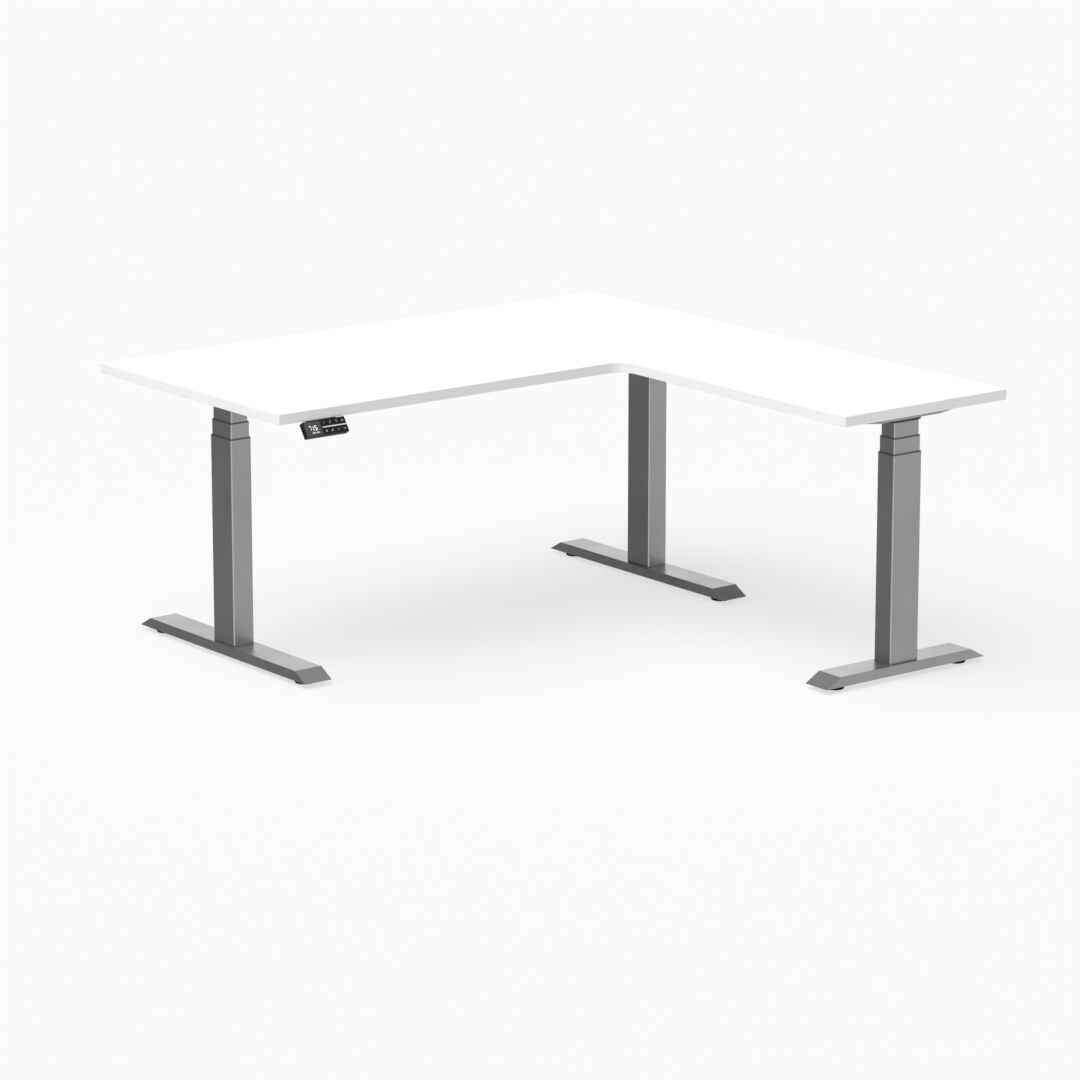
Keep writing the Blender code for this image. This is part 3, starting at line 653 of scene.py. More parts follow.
class DeskFrameSettings(bpy.types.PropertyGroup):
    """Feet, columns, support arms and beams."""

    colour: FloatVectorProperty(name="Frame Colour", description="Colour of the powder coat",
                                default=(0.30, 0.30, 0.305), subtype="COLOR", min=0, max=1)
    foot_lean: FloatProperty(name="Foot Lean", description="How far a foot's end leans out",
                             default=0.042, min=0, max=0.1, unit="LENGTH")
    sheet: FloatProperty(name="Sheet", description="Thickness of the folded sheet",
                         default=0.0025, min=0.001, max=0.004, unit="LENGTH")
    fold_radius: FloatProperty(name="Fold Radius", description="Outer radius of the feet's folds",
                               default=0.0017, min=0.0005, max=0.006, unit="LENGTH")
    tube_wall: FloatProperty(name="Tube Wall", description="Wall of the column tubes",
                             default=0.0015, min=0.001, max=0.003, unit="LENGTH")
    tube_corner: FloatProperty(name="Tube Corner", description="Corner radius of the column tubes",
                               default=0.005, min=0.002, max=0.01, unit="LENGTH")
    glide_notches: IntProperty(name="Glide Notches", description="Grip notches round each glide",
                               default=24, min=12, max=36)


class DeskKeypadSettings(bpy.types.PropertyGroup):
    """The tilted keypad with its height display."""

    reading: FloatProperty(name="Reading", description="Height that the display shows",
                           default=71.5, min=10.0, max=99.9, precision=1)
    case_rounding: FloatProperty(name="Case Rounding", description="Radius of the case's edges",
                                 default=0.0018, min=0.0003, max=0.004, unit="LENGTH")
    case_depth: FloatProperty(name="Case Depth", description="Thickness of the case",
                              default=0.015, min=0.008, max=0.02, unit="LENGTH")
    rim: FloatProperty(name="Rim", description="Rim of the case round its keys and window",
                       default=0.0013, min=0.0008, max=0.003, unit="LENGTH")
    digit_height: FloatProperty(name="Digit Height", description="Height of the display's digits",
                                default=0.0105, min=0.004, max=0.02, unit="LENGTH")


class DeskStageSettings(bpy.types.PropertyGroup):
    """Floor, light and camera."""

    floor_glow: FloatProperty(name="Floor Glow", description="Light that the pale floor gives off",
                              default=0.66, min=0, max=1)
    sky_strength: FloatProperty(name="Dome", description="Strength of the even light all round",
                                default=0.29, min=0, max=2)
    key_strength: FloatProperty(name="Key Light", description="Strength of the broad key light",
                                default=2.95, min=0, max=20)
    lens: FloatProperty(name="Lens", description="Focal length of the camera",
                        default=0.15305, min=0.02, max=0.4, subtype="DISTANCE_CAMERA")


# Board

def board_edges():
    """The board's lowest and highest corners, and where its notch begins on X and on Y."""
    low, high, _ = span("desktop_edge_band")
    points = node_points("desktop_edge_band")
    near = 0.01
    notch_left = min(point.x for point in points if point.y < low.y + near)
    notch_front = min(point.y for point in points if point.x < low.x + near)
    return low, high, notch_left, notch_front


def model_l_board(name, margin):
    """The L of the board as a solid, a margin inside its edge, with its corners rounded."""
    settings = bpy.context.scene.desk_board
    low, high, notch_left, notch_front = board_edges()
    blank = block(name, (low.x + margin, notch_front + margin, low.z),
                  (high.x - margin, high.y - margin, high.z))
    with edit_mode(blank):
        cut_across((notch_left + margin, 0, 0), (1, 0, 0))
        pick("FACE", lambda face: facing(0, -1, 0)(face)
             and face.calc_center_median().x > notch_left)
        extrude(0, low.y - notch_front, 0)
        merge_flat_faces()

        def in_notch(edge):
            place = middle(edge)
            near = abs(place.x - notch_left - margin) + abs(place.y - notch_front - margin)
            return runs_along(edge, 2) and near < 0.001

        pick("EDGE", in_notch)
        bevel(settings.inner_corner_radius + margin, 16)
        pick("EDGE", lambda edge: runs_along(edge, 2) and abs(edge.calc_face_angle()) > 1.0)
        bevel(settings.outer_corner_radius - margin, 5)
    return blank


def is_level_rim(edge):
    """Whether an edge borders a top or bottom face on one side and an upright one on the other."""
    slopes = sorted(abs(face.normal.z) for face in edge.link_faces)
    return len(slopes) == 2 and slopes[0] < 0.1 and slopes[1] > 0.9


class DESK_OT_board(bpy.types.Operator):
    """Model the melamine board and the band glued round its edge"""

    bl_idname = "desk.board"
    bl_label = "Add Board"

    def execute(self, context):
        settings = context.scene.desk_board
        seam = 0.00008
        panel = model_l_board("board_panel", settings.band_thickness + seam)
        with edit_mode(panel):
            pick("EDGE", is_level_rim)
            bevel(seam, 1)
        finish(panel, melamine(), "top", ["desktop_panel"])

        band = model_l_board("board_edge_band", 0.0)
        with edit_mode(band):
            pick("EDGE", is_level_rim)
            bevel(settings.rim_rounding, 5)
            pick("FACE", lambda face: abs(face.normal.z) > 0.999 and face.calc_area() > 0.1)
            inset(settings.band_thickness - settings.rim_rounding)
            bridge_open_rims()
            face_outwards()
        finish(band, edge_banding(), "top", ["desktop_edge_band"])
        return {"FINISHED"}


# Screws

def head_down(spot):
    """A placement that turns a screw over, so that its head hangs below its spot."""
    return Matrix.Translation(spot) @ Matrix.Rotation(math.pi, 4, "X")


def fasten(name, screw, places, body="top"):
    """Copies of one screw at several placements, as one plated piece."""
    copies = [moved(duplicate(screw, "screw"), place) for place in places]
    return finish(join(name, copies), zinc_plated(), body)


def cap_screw(name, radius, height, shank=0.004):
    """A round headed screw with a hexagonal socket, head up, its underside at the origin."""
    corner = height / 4
    screw = turned(name, [
        (0, -shank), (radius * 0.5, -shank), (radius * 0.5, 0), (radius, 0),
        (radius, height - corner), (radius - corner / 3, height - corner / 3),
        (radius - corner, height), (0, height),
    ], sides=24)
    socket = rod("socket", radius * 0.55, (0, 0, height * 0.35), (0, 0, height * 2), sides=6)
    return combine(screw, socket)


# Feet

def glide_offsets(leg):
    """Where the two glides are along the foot."""
    places = []
    for end in "ab":
        low, high = leg_span(f"glide_{leg}_{end}", leg)
        places.append((low.y + high.y) / 2)
    return places


def model_foot(leg):
    """A folded channel, open below, whose ends lean, with a threaded boss over each glide."""
    settings = bpy.context.scene.desk_frame
    low, high = leg_span(f"foot_{leg}", leg)
    half, top, bottom = high.y, high.z, low.z
    lean, sheet = settings.foot_lean, settings.sheet
    slope = lean / (top - bottom)
    end_wall = sheet * math.hypot(1, slope)
    depth = top - sheet - bottom
    mouth = half - end_wall
    foot = block("foot", low, high)
    with edit_mode(foot):
        pick("FACE", facing(0, 0, 1))
        resize(1, (half - lean) / half, 1)
        pick("FACE", facing(0, 0, -1))
        inset(sheet)
        resize(1, mouth / (half - sheet), 1)
        extrude(0, 0, depth)
        resize(1, (mouth - slope * depth) / mouth, 1)
        pick("EDGE", lambda edge: max(vertex.co.z for vertex in edge.verts) > top - TINY)
        bevel(settings.fold_radius, 6)
    boss_radius, bore_radius, overshoot = 0.009, 0.0044, 0.01
    bore_top = top - 2 * sheet + 0.0004
    for place in glide_offsets(leg):
        boss = rod("boss", boss_radius, (0, place, bottom + sheet), (0, place, top - sheet / 2))
        combine(foot, boss, "UNION")
    for place in glide_offsets(leg):
        bore = rod("bore", bore_radius, (0, place, bottom - overshoot), (0, place, bore_top))
        combine(foot, bore)
    return foot


class DESK_OT_feet(bpy.types.Operator):
    """Model the three folded feet and the bolts that hold the columns on them"""

    bl_idname = "desk.feet"
    bl_label = "Add Feet"

    def execute(self, context):
        bolt = cap_screw("bolt", radius=0.0065, height=0.006)
        across, along = 0.62, 0.7
        for leg in LEGS:
            place = leg_place(leg)
            foot = moved(model_foot(leg), place)
            foot.name = f"foot_shell_{leg}"
            finish(foot, powder_coat(), "base", [f"foot_{leg}"])
            ceiling = span(f"foot_{leg}")[1].z - context.scene.desk_frame.sheet
            low, high = leg_span(f"outer_tube_{leg}", leg)
            places = [place @ head_down((x, y, ceiling))
                      for x in (low.x * across, high.x * across)
                      for y in (low.y * along, high.y * along)]
            fasten(f"foot_bolts_{leg}", bolt, places, "base")
        discard(bolt)
        return {"FINISHED"}


class DESK_OT_glides(bpy.types.Operator):
    """Model the six screw-in levelling glides, with grip notches round their pads"""

    bl_idname = "desk.glides"
    bl_label = "Add Glides"

    def execute(self, context):
        notches = context.scene.desk_frame.glide_notches
        _, high, size = span("glide_left_a")
        radius, stud_top = size.x / 2, high.z
        pad = 0.0120
        glide = turned("glide", [
            (0, 0), (radius - 0.0026, 0), (radius - 0.0010, 0.0004), (radius - 0.0003, 0.0012),
            (radius, 0.0022), (radius, pad - 0.0040), (radius - 0.0004, pad - 0.0030),
            (radius - 0.0016, pad - 0.0021), (radius * 0.83, pad - 0.0014),
            (radius * 0.50, pad - 0.0004), (0.0095, pad), (0.0042, pad),
            (0.0040, pad + 0.0006), (0.0040, stud_top - 0.0008), (0.0032, stud_top),
            (0, stud_top),
        ], sides=2 * notches)
        pitch = math.tau / notches

        def is_notch(face):
            place = face.calc_center_median()
            turn = (math.atan2(place.y, place.x) % pitch) / pitch
            upright = abs(face.normal.z) < 0.05 and place.to_2d().length > radius * 0.9
            return upright and face.calc_area() > 1e-6 and turn < 0.5

        with edit_mode(glide):
            pick("FACE", is_notch)
            inset(0.0005, depth=-0.0007, individual=True)
        for leg in LEGS:
            for end in "ab":
                node = f"glide_{leg}_{end}"
                low, high, _ = span(node)
                centre = (low + high) / 2
                place = Matrix.Translation((centre.x, centre.y, 0))
                piece = moved(duplicate(glide, f"levelling_{node}"), place)
                finish(piece, black_nylon(), node, [node], smooth=35)
        discard(glide)
        return {"FINISHED"}


# Columns

def model_tube(node, plate):
    """A rounded rectangular tube from its left-hand solid, with a plate across its lower end, or
    open at both ends when plate is zero.
    """
    settings = bpy.context.scene.desk_frame
    low, high = leg_span(node, "left")
    rim = 0.0004
    tube = block("tube", low, high)
    with edit_mode(tube):
        round_uprights(settings.tube_corner, 8)
        pick("EDGE", is_level_rim)
        bevel(rim, 2)
        if plate:
            pick("FACE", facing(0, 0, 1))
            inset(settings.tube_wall - rim)
            extrude(0, 0, low.z + plate - high.z)
        else:
            pick("FACE", lambda face: abs(face.normal.z) > 0.999 and face.calc_area() > 0.001)
            inset(settings.tube_wall - rim)
            bridge_open_rims()
        face_outwards()
    return tube


class DESK_OT_columns(bpy.types.Operator):
    """Model the telescopic tubes and their moulded guides, and finish the drive inside them"""

    bl_idname = "desk.columns"
    bl_label = "Add Columns"

    def execute(self, context):
        outer = model_tube("outer_tube_left", plate=0.005)
        middle_tube = model_tube("mid_tube_left", plate=0.004)
        low, _ = leg_span("mid_tube_left", "left")
        hole_radius, reach = 0.006, 0.01
        hole = rod("hole", hole_radius, (0, 0, low.z - reach), (0, 0, low.z + reach))
        combine(middle_tube, hole)
        inner = model_tube("inner_tube_left", plate=0)
        stages = ((outer, "outer", "base"), (middle_tube, "mid", "mid_{}"),
                  (inner, "inner", "top"))
        for master, stage, body in stages:
            for leg in LEGS:
                tube = moved(duplicate(master, f"column_{stage}_tube_{leg}"), leg_place(leg))
                finish(tube, powder_coat(), body.format(leg),
                       [f"{stage}_tube_{leg}"])
            discard(master)
        for leg in LEGS:
            for stage, body in (("outer", "base"), ("mid", f"mid_{leg}")):
                node = f"{stage}_collar_{leg}"
                collar = finer_copy(node, f"moulded_{node}", 0.0003)
                finish(collar, grey_acetal(), body, [node])
        drive = ("base_screw", "spindle", "drive_tube")
        repaint([f"{part}_{leg}" for part in drive for leg in LEGS], ground_steel())
        repaint([f"lift_nut_{leg}" for leg in LEGS], white_acetal())
        return {"FINISHED"}


# Motors

GEARBOX_HALF_WIDTH = 0.026


def model_motor():
    """Head plate, gearbox and barrel, about the column's axis with the barrel along +X."""
    _, high = leg_span("motor_left", "left")
    _, tube_high = leg_span("inner_tube_left", "left")
    clearance, plate_thickness, plate_x = 0.0003, 0.006, 0.025
    plate_bottom = tube_high.z + clearance
    plate_top = plate_bottom + plate_thickness
    gear_x, gear_y = GEARBOX_HALF_WIDTH, 0.040
    radius = 0.017
    level = high.z - radius

    plate = block("head_plate", (-plate_x, -high.y, plate_bottom), (plate_x, high.y, plate_top))
    with edit_mode(plate):
        round_uprights(0.005, 5)
        pick("EDGE", lambda edge: is_level_rim(edge) and middle(edge).z < plate_bottom + TINY)
        bevel(0.002, 2)

    gearbox = block("gearbox", (-gear_x, -gear_y, plate_top), (gear_x, gear_y, high.z))
    with edit_mode(gearbox):
        round_uprights(0.004, 4)
        pick("FACE", lambda face: abs(face.normal.x) > 0.99 and face.calc_area() > 0.0005)
        inset(0.003)
        inset(0.0006, depth=-0.0008)
        pick("FACE", facing(0, 0, 1))
        inset(0.0012)

    barrel = rod("barrel", radius, (gear_x, 0, level), (high.x, 0, level), sides=48)
    length = high.x - gear_x
    cap_recess = 0.0012
    with edit_mode(barrel):
        for share in (0.06, 0.09, 0.76, 0.785):
            cut_across((gear_x + share * length, 0, 0), (1, 0, 0))
        for share in (0.075, 0.7725):
            groove = gear_x + share * length
            pick("FACE", lambda face: abs(face.calc_center_median().x - groove) < 0.002
                 and abs(face.normal.x) < 0.1)
            resize(1, 0.955, 0.955, (groove, 0, level))
        pick("FACE", facing(1, 0, 0))
        inset(0.0035)
        extrude(-cap_recess, 0, 0)
        inset(0.006)
        extrude(cap_recess, 0, 0)
        rim = Vector((high.x, 0, level))
        pick("EDGE", lambda edge: abs(middle(edge).x - high.x) < TINY
             and abs((middle(edge) - rim).length - radius) < 0.0005)
        bevel(0.0018, 4)
    return plate, gearbox, barrel


class DESK_OT_motors(bpy.types.Operator):
    """Model the gearbox and motor at the head of each column"""

    bl_idname = "desk.motors"
    bl_label = "Add Motors"

    def execute(self, context):
        plate, gearbox, barrel = model_motor()
        screw = cap_screw("screw", radius=0.003, height=0.0022)
        _, high = leg_span("motor_left", "left")
        level = high.z - 0.0101
        sideways = Matrix.Rotation(math.pi / 2, 4, "Y")
        for leg in LEGS:
            place = leg_place(leg)
            head = moved(duplicate(plate, f"motor_head_plate_{leg}"), place)
            finish(head, gearbox_casting(), "top")
            case = moved(duplicate(gearbox, f"motor_gearbox_{leg}"), place)
            finish(case, gearbox_casting(), "top", [f"motor_{leg}"])
            drum = moved(duplicate(barrel, f"motor_barrel_{leg}"), place)
            finish(drum, gearbox_casting(), "top", smooth=35)
            spots = [(GEARBOX_HALF_WIDTH, y, level + lift)
                     for y in (-0.033, 0.033) for lift in (-0.0058, 0.0058)]
            fasten(f"motor_screws_{leg}", screw,
                   [place @ (Matrix.Translation(spot) @ sideways) for spot in spots])
        discard(plate, gearbox, barrel, screw)
        return {"FINISHED"}


# Support arms and beams

SHEET_RIM = 0.0003


def model_support_arm(leg):
    """A channel under the board that is open below, its sides tapering to the ends."""
    settings = bpy.context.scene.desk_frame
    low, high = leg_span(f"support_arm_{leg}", leg)
    flat_half, tip_drop = 0.095, 0.006
    arm = block("arm", low, high)
    with edit_mode(arm):
        cut_across((0, -flat_half, 0), (0, 1, 0))
        cut_across((0, flat_half, 0), (0, 1, 0))
        pick("VERT", lambda vertex: abs(vertex.co.y) > high.y - TINY
             and vertex.co.z < low.z + TINY)
        bpy.ops.transform.translate(value=(0, 0, high.z - tip_drop - low.z))
        pick("FACE", lambda face: face.normal.z < -0.5 or abs(face.normal.y) > 0.9)
        bpy.ops.mesh.delete(type="FACE")
        pick("EDGE", lambda edge: runs_along(edge, 1) and middle(edge).z > high.z - TINY
             and abs(middle(edge).x) > high.x - TINY)
        bevel(settings.sheet + 0.001, 5)
    apply_modifier(arm, "SOLIDIFY", thickness=settings.sheet, offset=-1, use_even_offset=True)
    _, motor_high = leg_span(f"motor_{leg}", leg)
    notch_start, notch_end, notch_half = 0.010, 0.080, 0.020
    notch = block("notch", (notch_start, -notch_half, low.z - 0.01),
                  (notch_end, notch_half, high.z - settings.sheet))
    with edit_mode(notch):
        pick("EDGE", lambda edge: runs_along(edge, 0) and middle(edge).z > motor_high.z - 0.005)
        bevel(0.004, 4)
    combine(arm, notch)
    return soften(arm, SHEET_RIM)


class DESK_OT_support_arms(bpy.types.Operator):
    """Model the tapered arms that carry the board, and the screws that hold it"""

    bl_idname = "desk.support_arms"
    bl_label = "Add Support Arms"

    def execute(self, context):
        sheet = context.scene.desk_frame.sheet
        screw = cap_screw("screw", radius=0.0055, height=0.0030)
        for leg in LEGS:
            place = leg_place(leg)
            arm = moved(model_support_arm(leg), place)
            arm.name = f"arm_{leg}"
            finish(arm, powder_coat(), "top", [f"support_arm_{leg}"])
            _, high = leg_span(f"support_arm_{leg}", leg)
            places = [place @ head_down((0, side * share * high.y, high.z - sheet))
                      for share in (0.45, 0.68, 0.92) for side in (-1, 1)]
            fasten(f"arm_screws_{leg}", screw, places)
        discard(screw)
        return {"FINISHED"}


def model_beam(node, name):
    """A folded channel that is open at the top, from its solid."""
    low, high, size = span(node)
    axis = 0 if size.x > size.y else 1
    across = 1 - axis
    sheet, fold_radius = 0.002, 0.0022
    beam = block(name, low, high)
    with edit_mode(beam):
        pick("FACE", lambda face: face.normal.z > 0.9 or abs(face.normal[axis]) > 0.9)
        bpy.ops.mesh.delete(type="FACE")
        centre = (low[across] + high[across]) / 2
        pick("EDGE", lambda edge: runs_along(edge, axis) and middle(edge).z < low.z + TINY
             and abs(middle(edge)[across] - centre) > size[across] / 2 - TINY)
        bevel(fold_radius, 5)
    apply_modifier(beam, "SOLIDIFY", thickness=sheet, offset=-1, use_even_offset=True)
    return soften(beam, SHEET_RIM)


class DESK_OT_beams(bpy.types.Operator):
    """Model the sliding beams between the columns and the screws that clamp them"""

    bl_idname = "desk.beams"
    bl_label = "Add Beams"

    def execute(self, context):
        screw = cap_screw("screw", radius=0.0055, height=0.0035)
        for run in ("main", "return"):
            for part in ("outer", "inner"):
                node = f"{run}_beam_{part}"
                beam = model_beam(node, f"{run}_channel_{part}")
                finish(beam, powder_coat(), "top", [node])
            low, high, size = span(f"{run}_beam_outer")
            inner_low, _, _ = span(f"{run}_beam_inner")
            axis = 0 if size.x > size.y else 1
            across = 1 - axis
            centre = (low + high) / 2
            start, end = inner_low[axis], high[axis]
            places = []
            for share in (0.2, 0.8):
                for side in (-1, 1):
                    spot = Vector(centre)
                    spot[axis] = start + share * (end - start)
                    spot[across] += side * size[across] / 2
                    outward = Vector((0, 0, 0))
                    outward[across] = side
                    turn = outward.to_track_quat("Z", "Y").to_matrix().to_4x4()
                    places.append(Matrix.Translation(spot) @ turn)
            fasten(f"{run}_beam_screws", screw, places)
        discard(screw)
        return {"FINISHED"}


# Control box

def model_control_case(low, high, size, inlet_x):
    """The case with its lid seam, and with openings for its inlet, sockets and vents."""
    case = block("control_case", low, high)
    seam, seam_width, seam_depth = low.z + size.z * 0.62, 0.0008, 0.0007
    with edit_mode(case):
        round_uprights(0.006, 6)
        cut_across((0, 0, seam - seam_width / 2), (0, 0, 1))
        cut_across((0, 0, seam + seam_width / 2), (0, 0, 1))
        pick("FACE", lambda face: abs(face.normal.z) < 0.1
             and abs(face.calc_center_median().z - seam) < seam_width / 2)
        resize(1 - 2 * seam_depth / size.x, 1 - 2 * seam_depth / size.y, 1, (low + high) / 2)
        pick("EDGE", lambda edge: is_level_rim(edge)
             and (middle(edge).z < low.z + TINY or middle(edge).z > high.z - TINY))
        bevel(0.003, 5)

    def cut_out(x, half_width, y, z):
        """Cut an opening that is centred on x, between two Y and two Z values."""
        combine(case, block("opening", (x - half_width, y[0], z[0]), (x + half_width, y[1], z[1])))

    level, outside = (low.z + high.z) / 2, 0.01
    cut_out(inlet_x, 0.011, (high.y - 0.012, high.y + outside), (level - 0.008, level + 0.008))
    front = (low.y - outside, low.y + 0.009)
    for index in range(4):
        x = low.x + 0.035 + index * 0.030
        cut_out(x, 0.0065, front, (level - 0.0065, level + 0.0045))
        cut_out(x, 0.003, front, (level + 0.0035, level + 0.0065))
    for index in range(9):
        x = low.x + 0.050 + index * 0.0055
        cut_out(x, 0.0011, (low.y + 0.022, high.y - 0.022), (low.z - outside, low.z + 0.0012))
    return case


class DESK_OT_control_box(bpy.types.Operator):
    """Model the control box with its lid seam, vents, sockets and mains inlet"""

    bl_idname = "desk.control_box"
    bl_label = "Add Control Box"

    def execute(self, context):
        low, high, size = span("control_box")
        centre = (low + high) / 2
        level = centre.z
        inlet_x = high.x - 0.030
        case = model_control_case(low, high, size, inlet_x)
        black = moulded_black()
        finish(case, black, "top", ["control_box"])

        pins = []
        for right, up in ((-0.007, -0.002), (0, 0.003), (0.007, -0.002)):
            x, z = inlet_x + right, level + up
            pins.append(soften(block("pin", (x - 0.001, high.y - 0.013, z - 0.002),
                                     (x + 0.001, high.y - 0.002, z + 0.002)), 0.0003))
        finish(join("inlet_pins", pins), zinc_plated(), "top")

        light = turned("status_light", [
            (0, 0.0006), (0.0008, 0.0005), (0.0012, 0), (0.0012, -0.002), (0, -0.002),
        ], sides=20)
        spot = Vector((high.x - 0.040, low.y, level))
        light = moved(light, Matrix.Translation(spot) @ Matrix.Rotation(math.pi / 2, 4, "X"))
        finish(light, lit_segments(), "top")

        tab_reach, screw_reach = size.x / 2 + 0.006, size.x / 2 + 0.0075
        tab_bottom = high.z - 0.003
        tabs = []
        for side in (-1, 1):
            x = centre.x + side * tab_reach
            tab = block("tab", (x - 0.009, centre.y - 0.012, tab_bottom),
                        (x + 0.009, centre.y + 0.012, high.z))
            with edit_mode(tab):
                pick("EDGE", lambda edge: runs_along(edge, 2)
                     and side * (middle(edge).x - centre.x) > tab_reach)
                bevel(0.006, 6)
            tabs.append(soften(tab, 0.0004))
        finish(join("control_box_tabs", tabs), black, "top")
        screw = cap_screw("screw", radius=0.0038, height=0.0024, shank=0.002)
        places = [head_down((centre.x + side * screw_reach, centre.y, tab_bottom))
                  for side in (-1, 1)]
        fasten("control_box_screws", screw, places)
        discard(screw)
        return {"FINISHED"}


# Keypad

KEY_CORNER = 0.0011
SEGMENTS = {
    "0": "abcdef", "1": "bc", "2": "abged", "3": "abgcd", "4": "fgbc",
    "5": "afgcd", "6": "afgedc", "7": "abc", "8": "abcdefg", "9": "abcdfg",
}


def segment_bars(symbol, height, thickness, depth):
    """One digit of seven bars, standing on the origin, with its face towards +Z."""
    width = height * 0.55
    half = height / 2
    ends = {
        "a": ((0, height), (width, height)), "b": ((width, half), (width, height)),
        "c": ((width, 0), (width, half)), "d": ((0, 0), (width, 0)), "e": ((0, 0), (0, half)),
        "f": ((0, half), (0, height)), "g": ((0, half), (width, half)),
    }
    grow, gap = thickness / 2, thickness * 0.52
    bars = []
    for letter in SEGMENTS[symbol]:
        (x0, y0), (x1, y1) = ends[letter]
        lies = x1 != x0
        low = (x0 + gap, y0 - grow, 0) if lies else (x0 - grow, y0 + gap, 0)
        high = (x1 - gap, y1 + grow, depth) if lies else (x1 + grow, y1 - gap, depth)
        bar = block("bar", low, high)
        with edit_mode(bar):
            pick("EDGE", lambda edge: runs_along(edge, 2) and edge.calc_length() > depth * 0.9)
            bevel(thickness * 0.35, 2)
        bars.append(bar)
    return bars


def model_case(settings, low, high):
    """The case, with pockets for its window and its two rows of keys."""
    case = block("case", (low.x, low.y, -settings.case_depth), (high.x, high.y, 0))
    case = soften(case, settings.case_rounding, 6)
    clearance, key_room, outside = 0.0003, 0.0011, 0.01
    lens_low, lens_high = keypad_span("keypad_lens")
    pocket = block("pocket",
                   (lens_low.x - clearance, lens_low.y - clearance, lens_low.z - clearance),
                   (lens_high.x + clearance, lens_high.y + clearance, outside))
    combine(case, pocket)
    for row in ("upper", "lower"):
        first_low, first_high = keypad_span(f"key_{row}_1")
        _, last_high = keypad_span(f"key_{row}_4")
        pocket = block("pocket",
                       (first_low.x - clearance, first_low.y - clearance, first_low.z - key_room),
                       (last_high.x + clearance, first_high.y + clearance, outside))
        with edit_mode(pocket):
            round_uprights(KEY_CORNER, 4)
        combine(case, pocket)
    return case


def model_key_cap():
    """A key cap with a shallow dished face, about the middle of its face."""
    low, high = keypad_span("key_upper_1")
    size = high - low
    cap = block("cap", (-size.x / 2, -size.y / 2, -size.z), (size.x / 2, size.y / 2, 0))
    with edit_mode(cap):
        round_uprights(KEY_CORNER, 5)
        pick("EDGE", lambda edge: is_level_rim(edge) and middle(edge).z > -TINY)
        bevel(0.0004, 4)
        pick("FACE", facing(0, 0, 1))
        inset(0.0003)
        extrude(0, 0, -0.00012)
        resize(0.84, 0.84, 1)
        extrude(0, 0, -0.00008)
        resize(0.8, 0.8, 1)
    return cap


def arrow_mark(size, depth, up):
    """A chevron that points up or down, from two leaning bars."""
    half_width, half_length = 0.09 * size, 0.36 * size
    bars = []
    for side in (-1, 1):
        bar = block("bar", (-half_width, -half_length, 0), (half_width, half_length, depth))
        lean = Matrix.Rotation(side * math.radians(45), 4, "Z")
        bars.append(moved(bar, Matrix.Translation((side * 0.2 * size, 0, 0)) @ lean))
    mark = combine(bars[0], bars[1], "UNION")
    mark.name = "mark"
    return mark if up else moved(mark, Matrix.Rotation(math.pi, 4, "Z"))


def key_mark(row, column, depth):
    """The printed sign on one key: a number, a ring, or an arrow on the last key."""
    if column == 4:
        return arrow_mark(0.0058, depth, row == "upper")
    if row == "upper":
        number = join("mark", segment_bars(str(column), 0.0048, 0.0008, depth))
        left = -0.0013 if column > 1 else -0.0026
        return moved(number, Matrix.Translation((left, -0.0024, 0)))
    if column == 1:
        outer, inner = 0.0021, 0.0012
        return turned("mark", [(outer, 0), (outer, depth), (inner, depth), (inner, 0), (outer, 0)],
                      sides=24)
    if column == 2:
        return turned("mark", [(0, depth), (0.0018, depth), (0.0018, 0), (0, 0)], sides=24)
    return block("mark", (-0.0019, -0.0006, 0), (0.0019, 0.0006, depth))


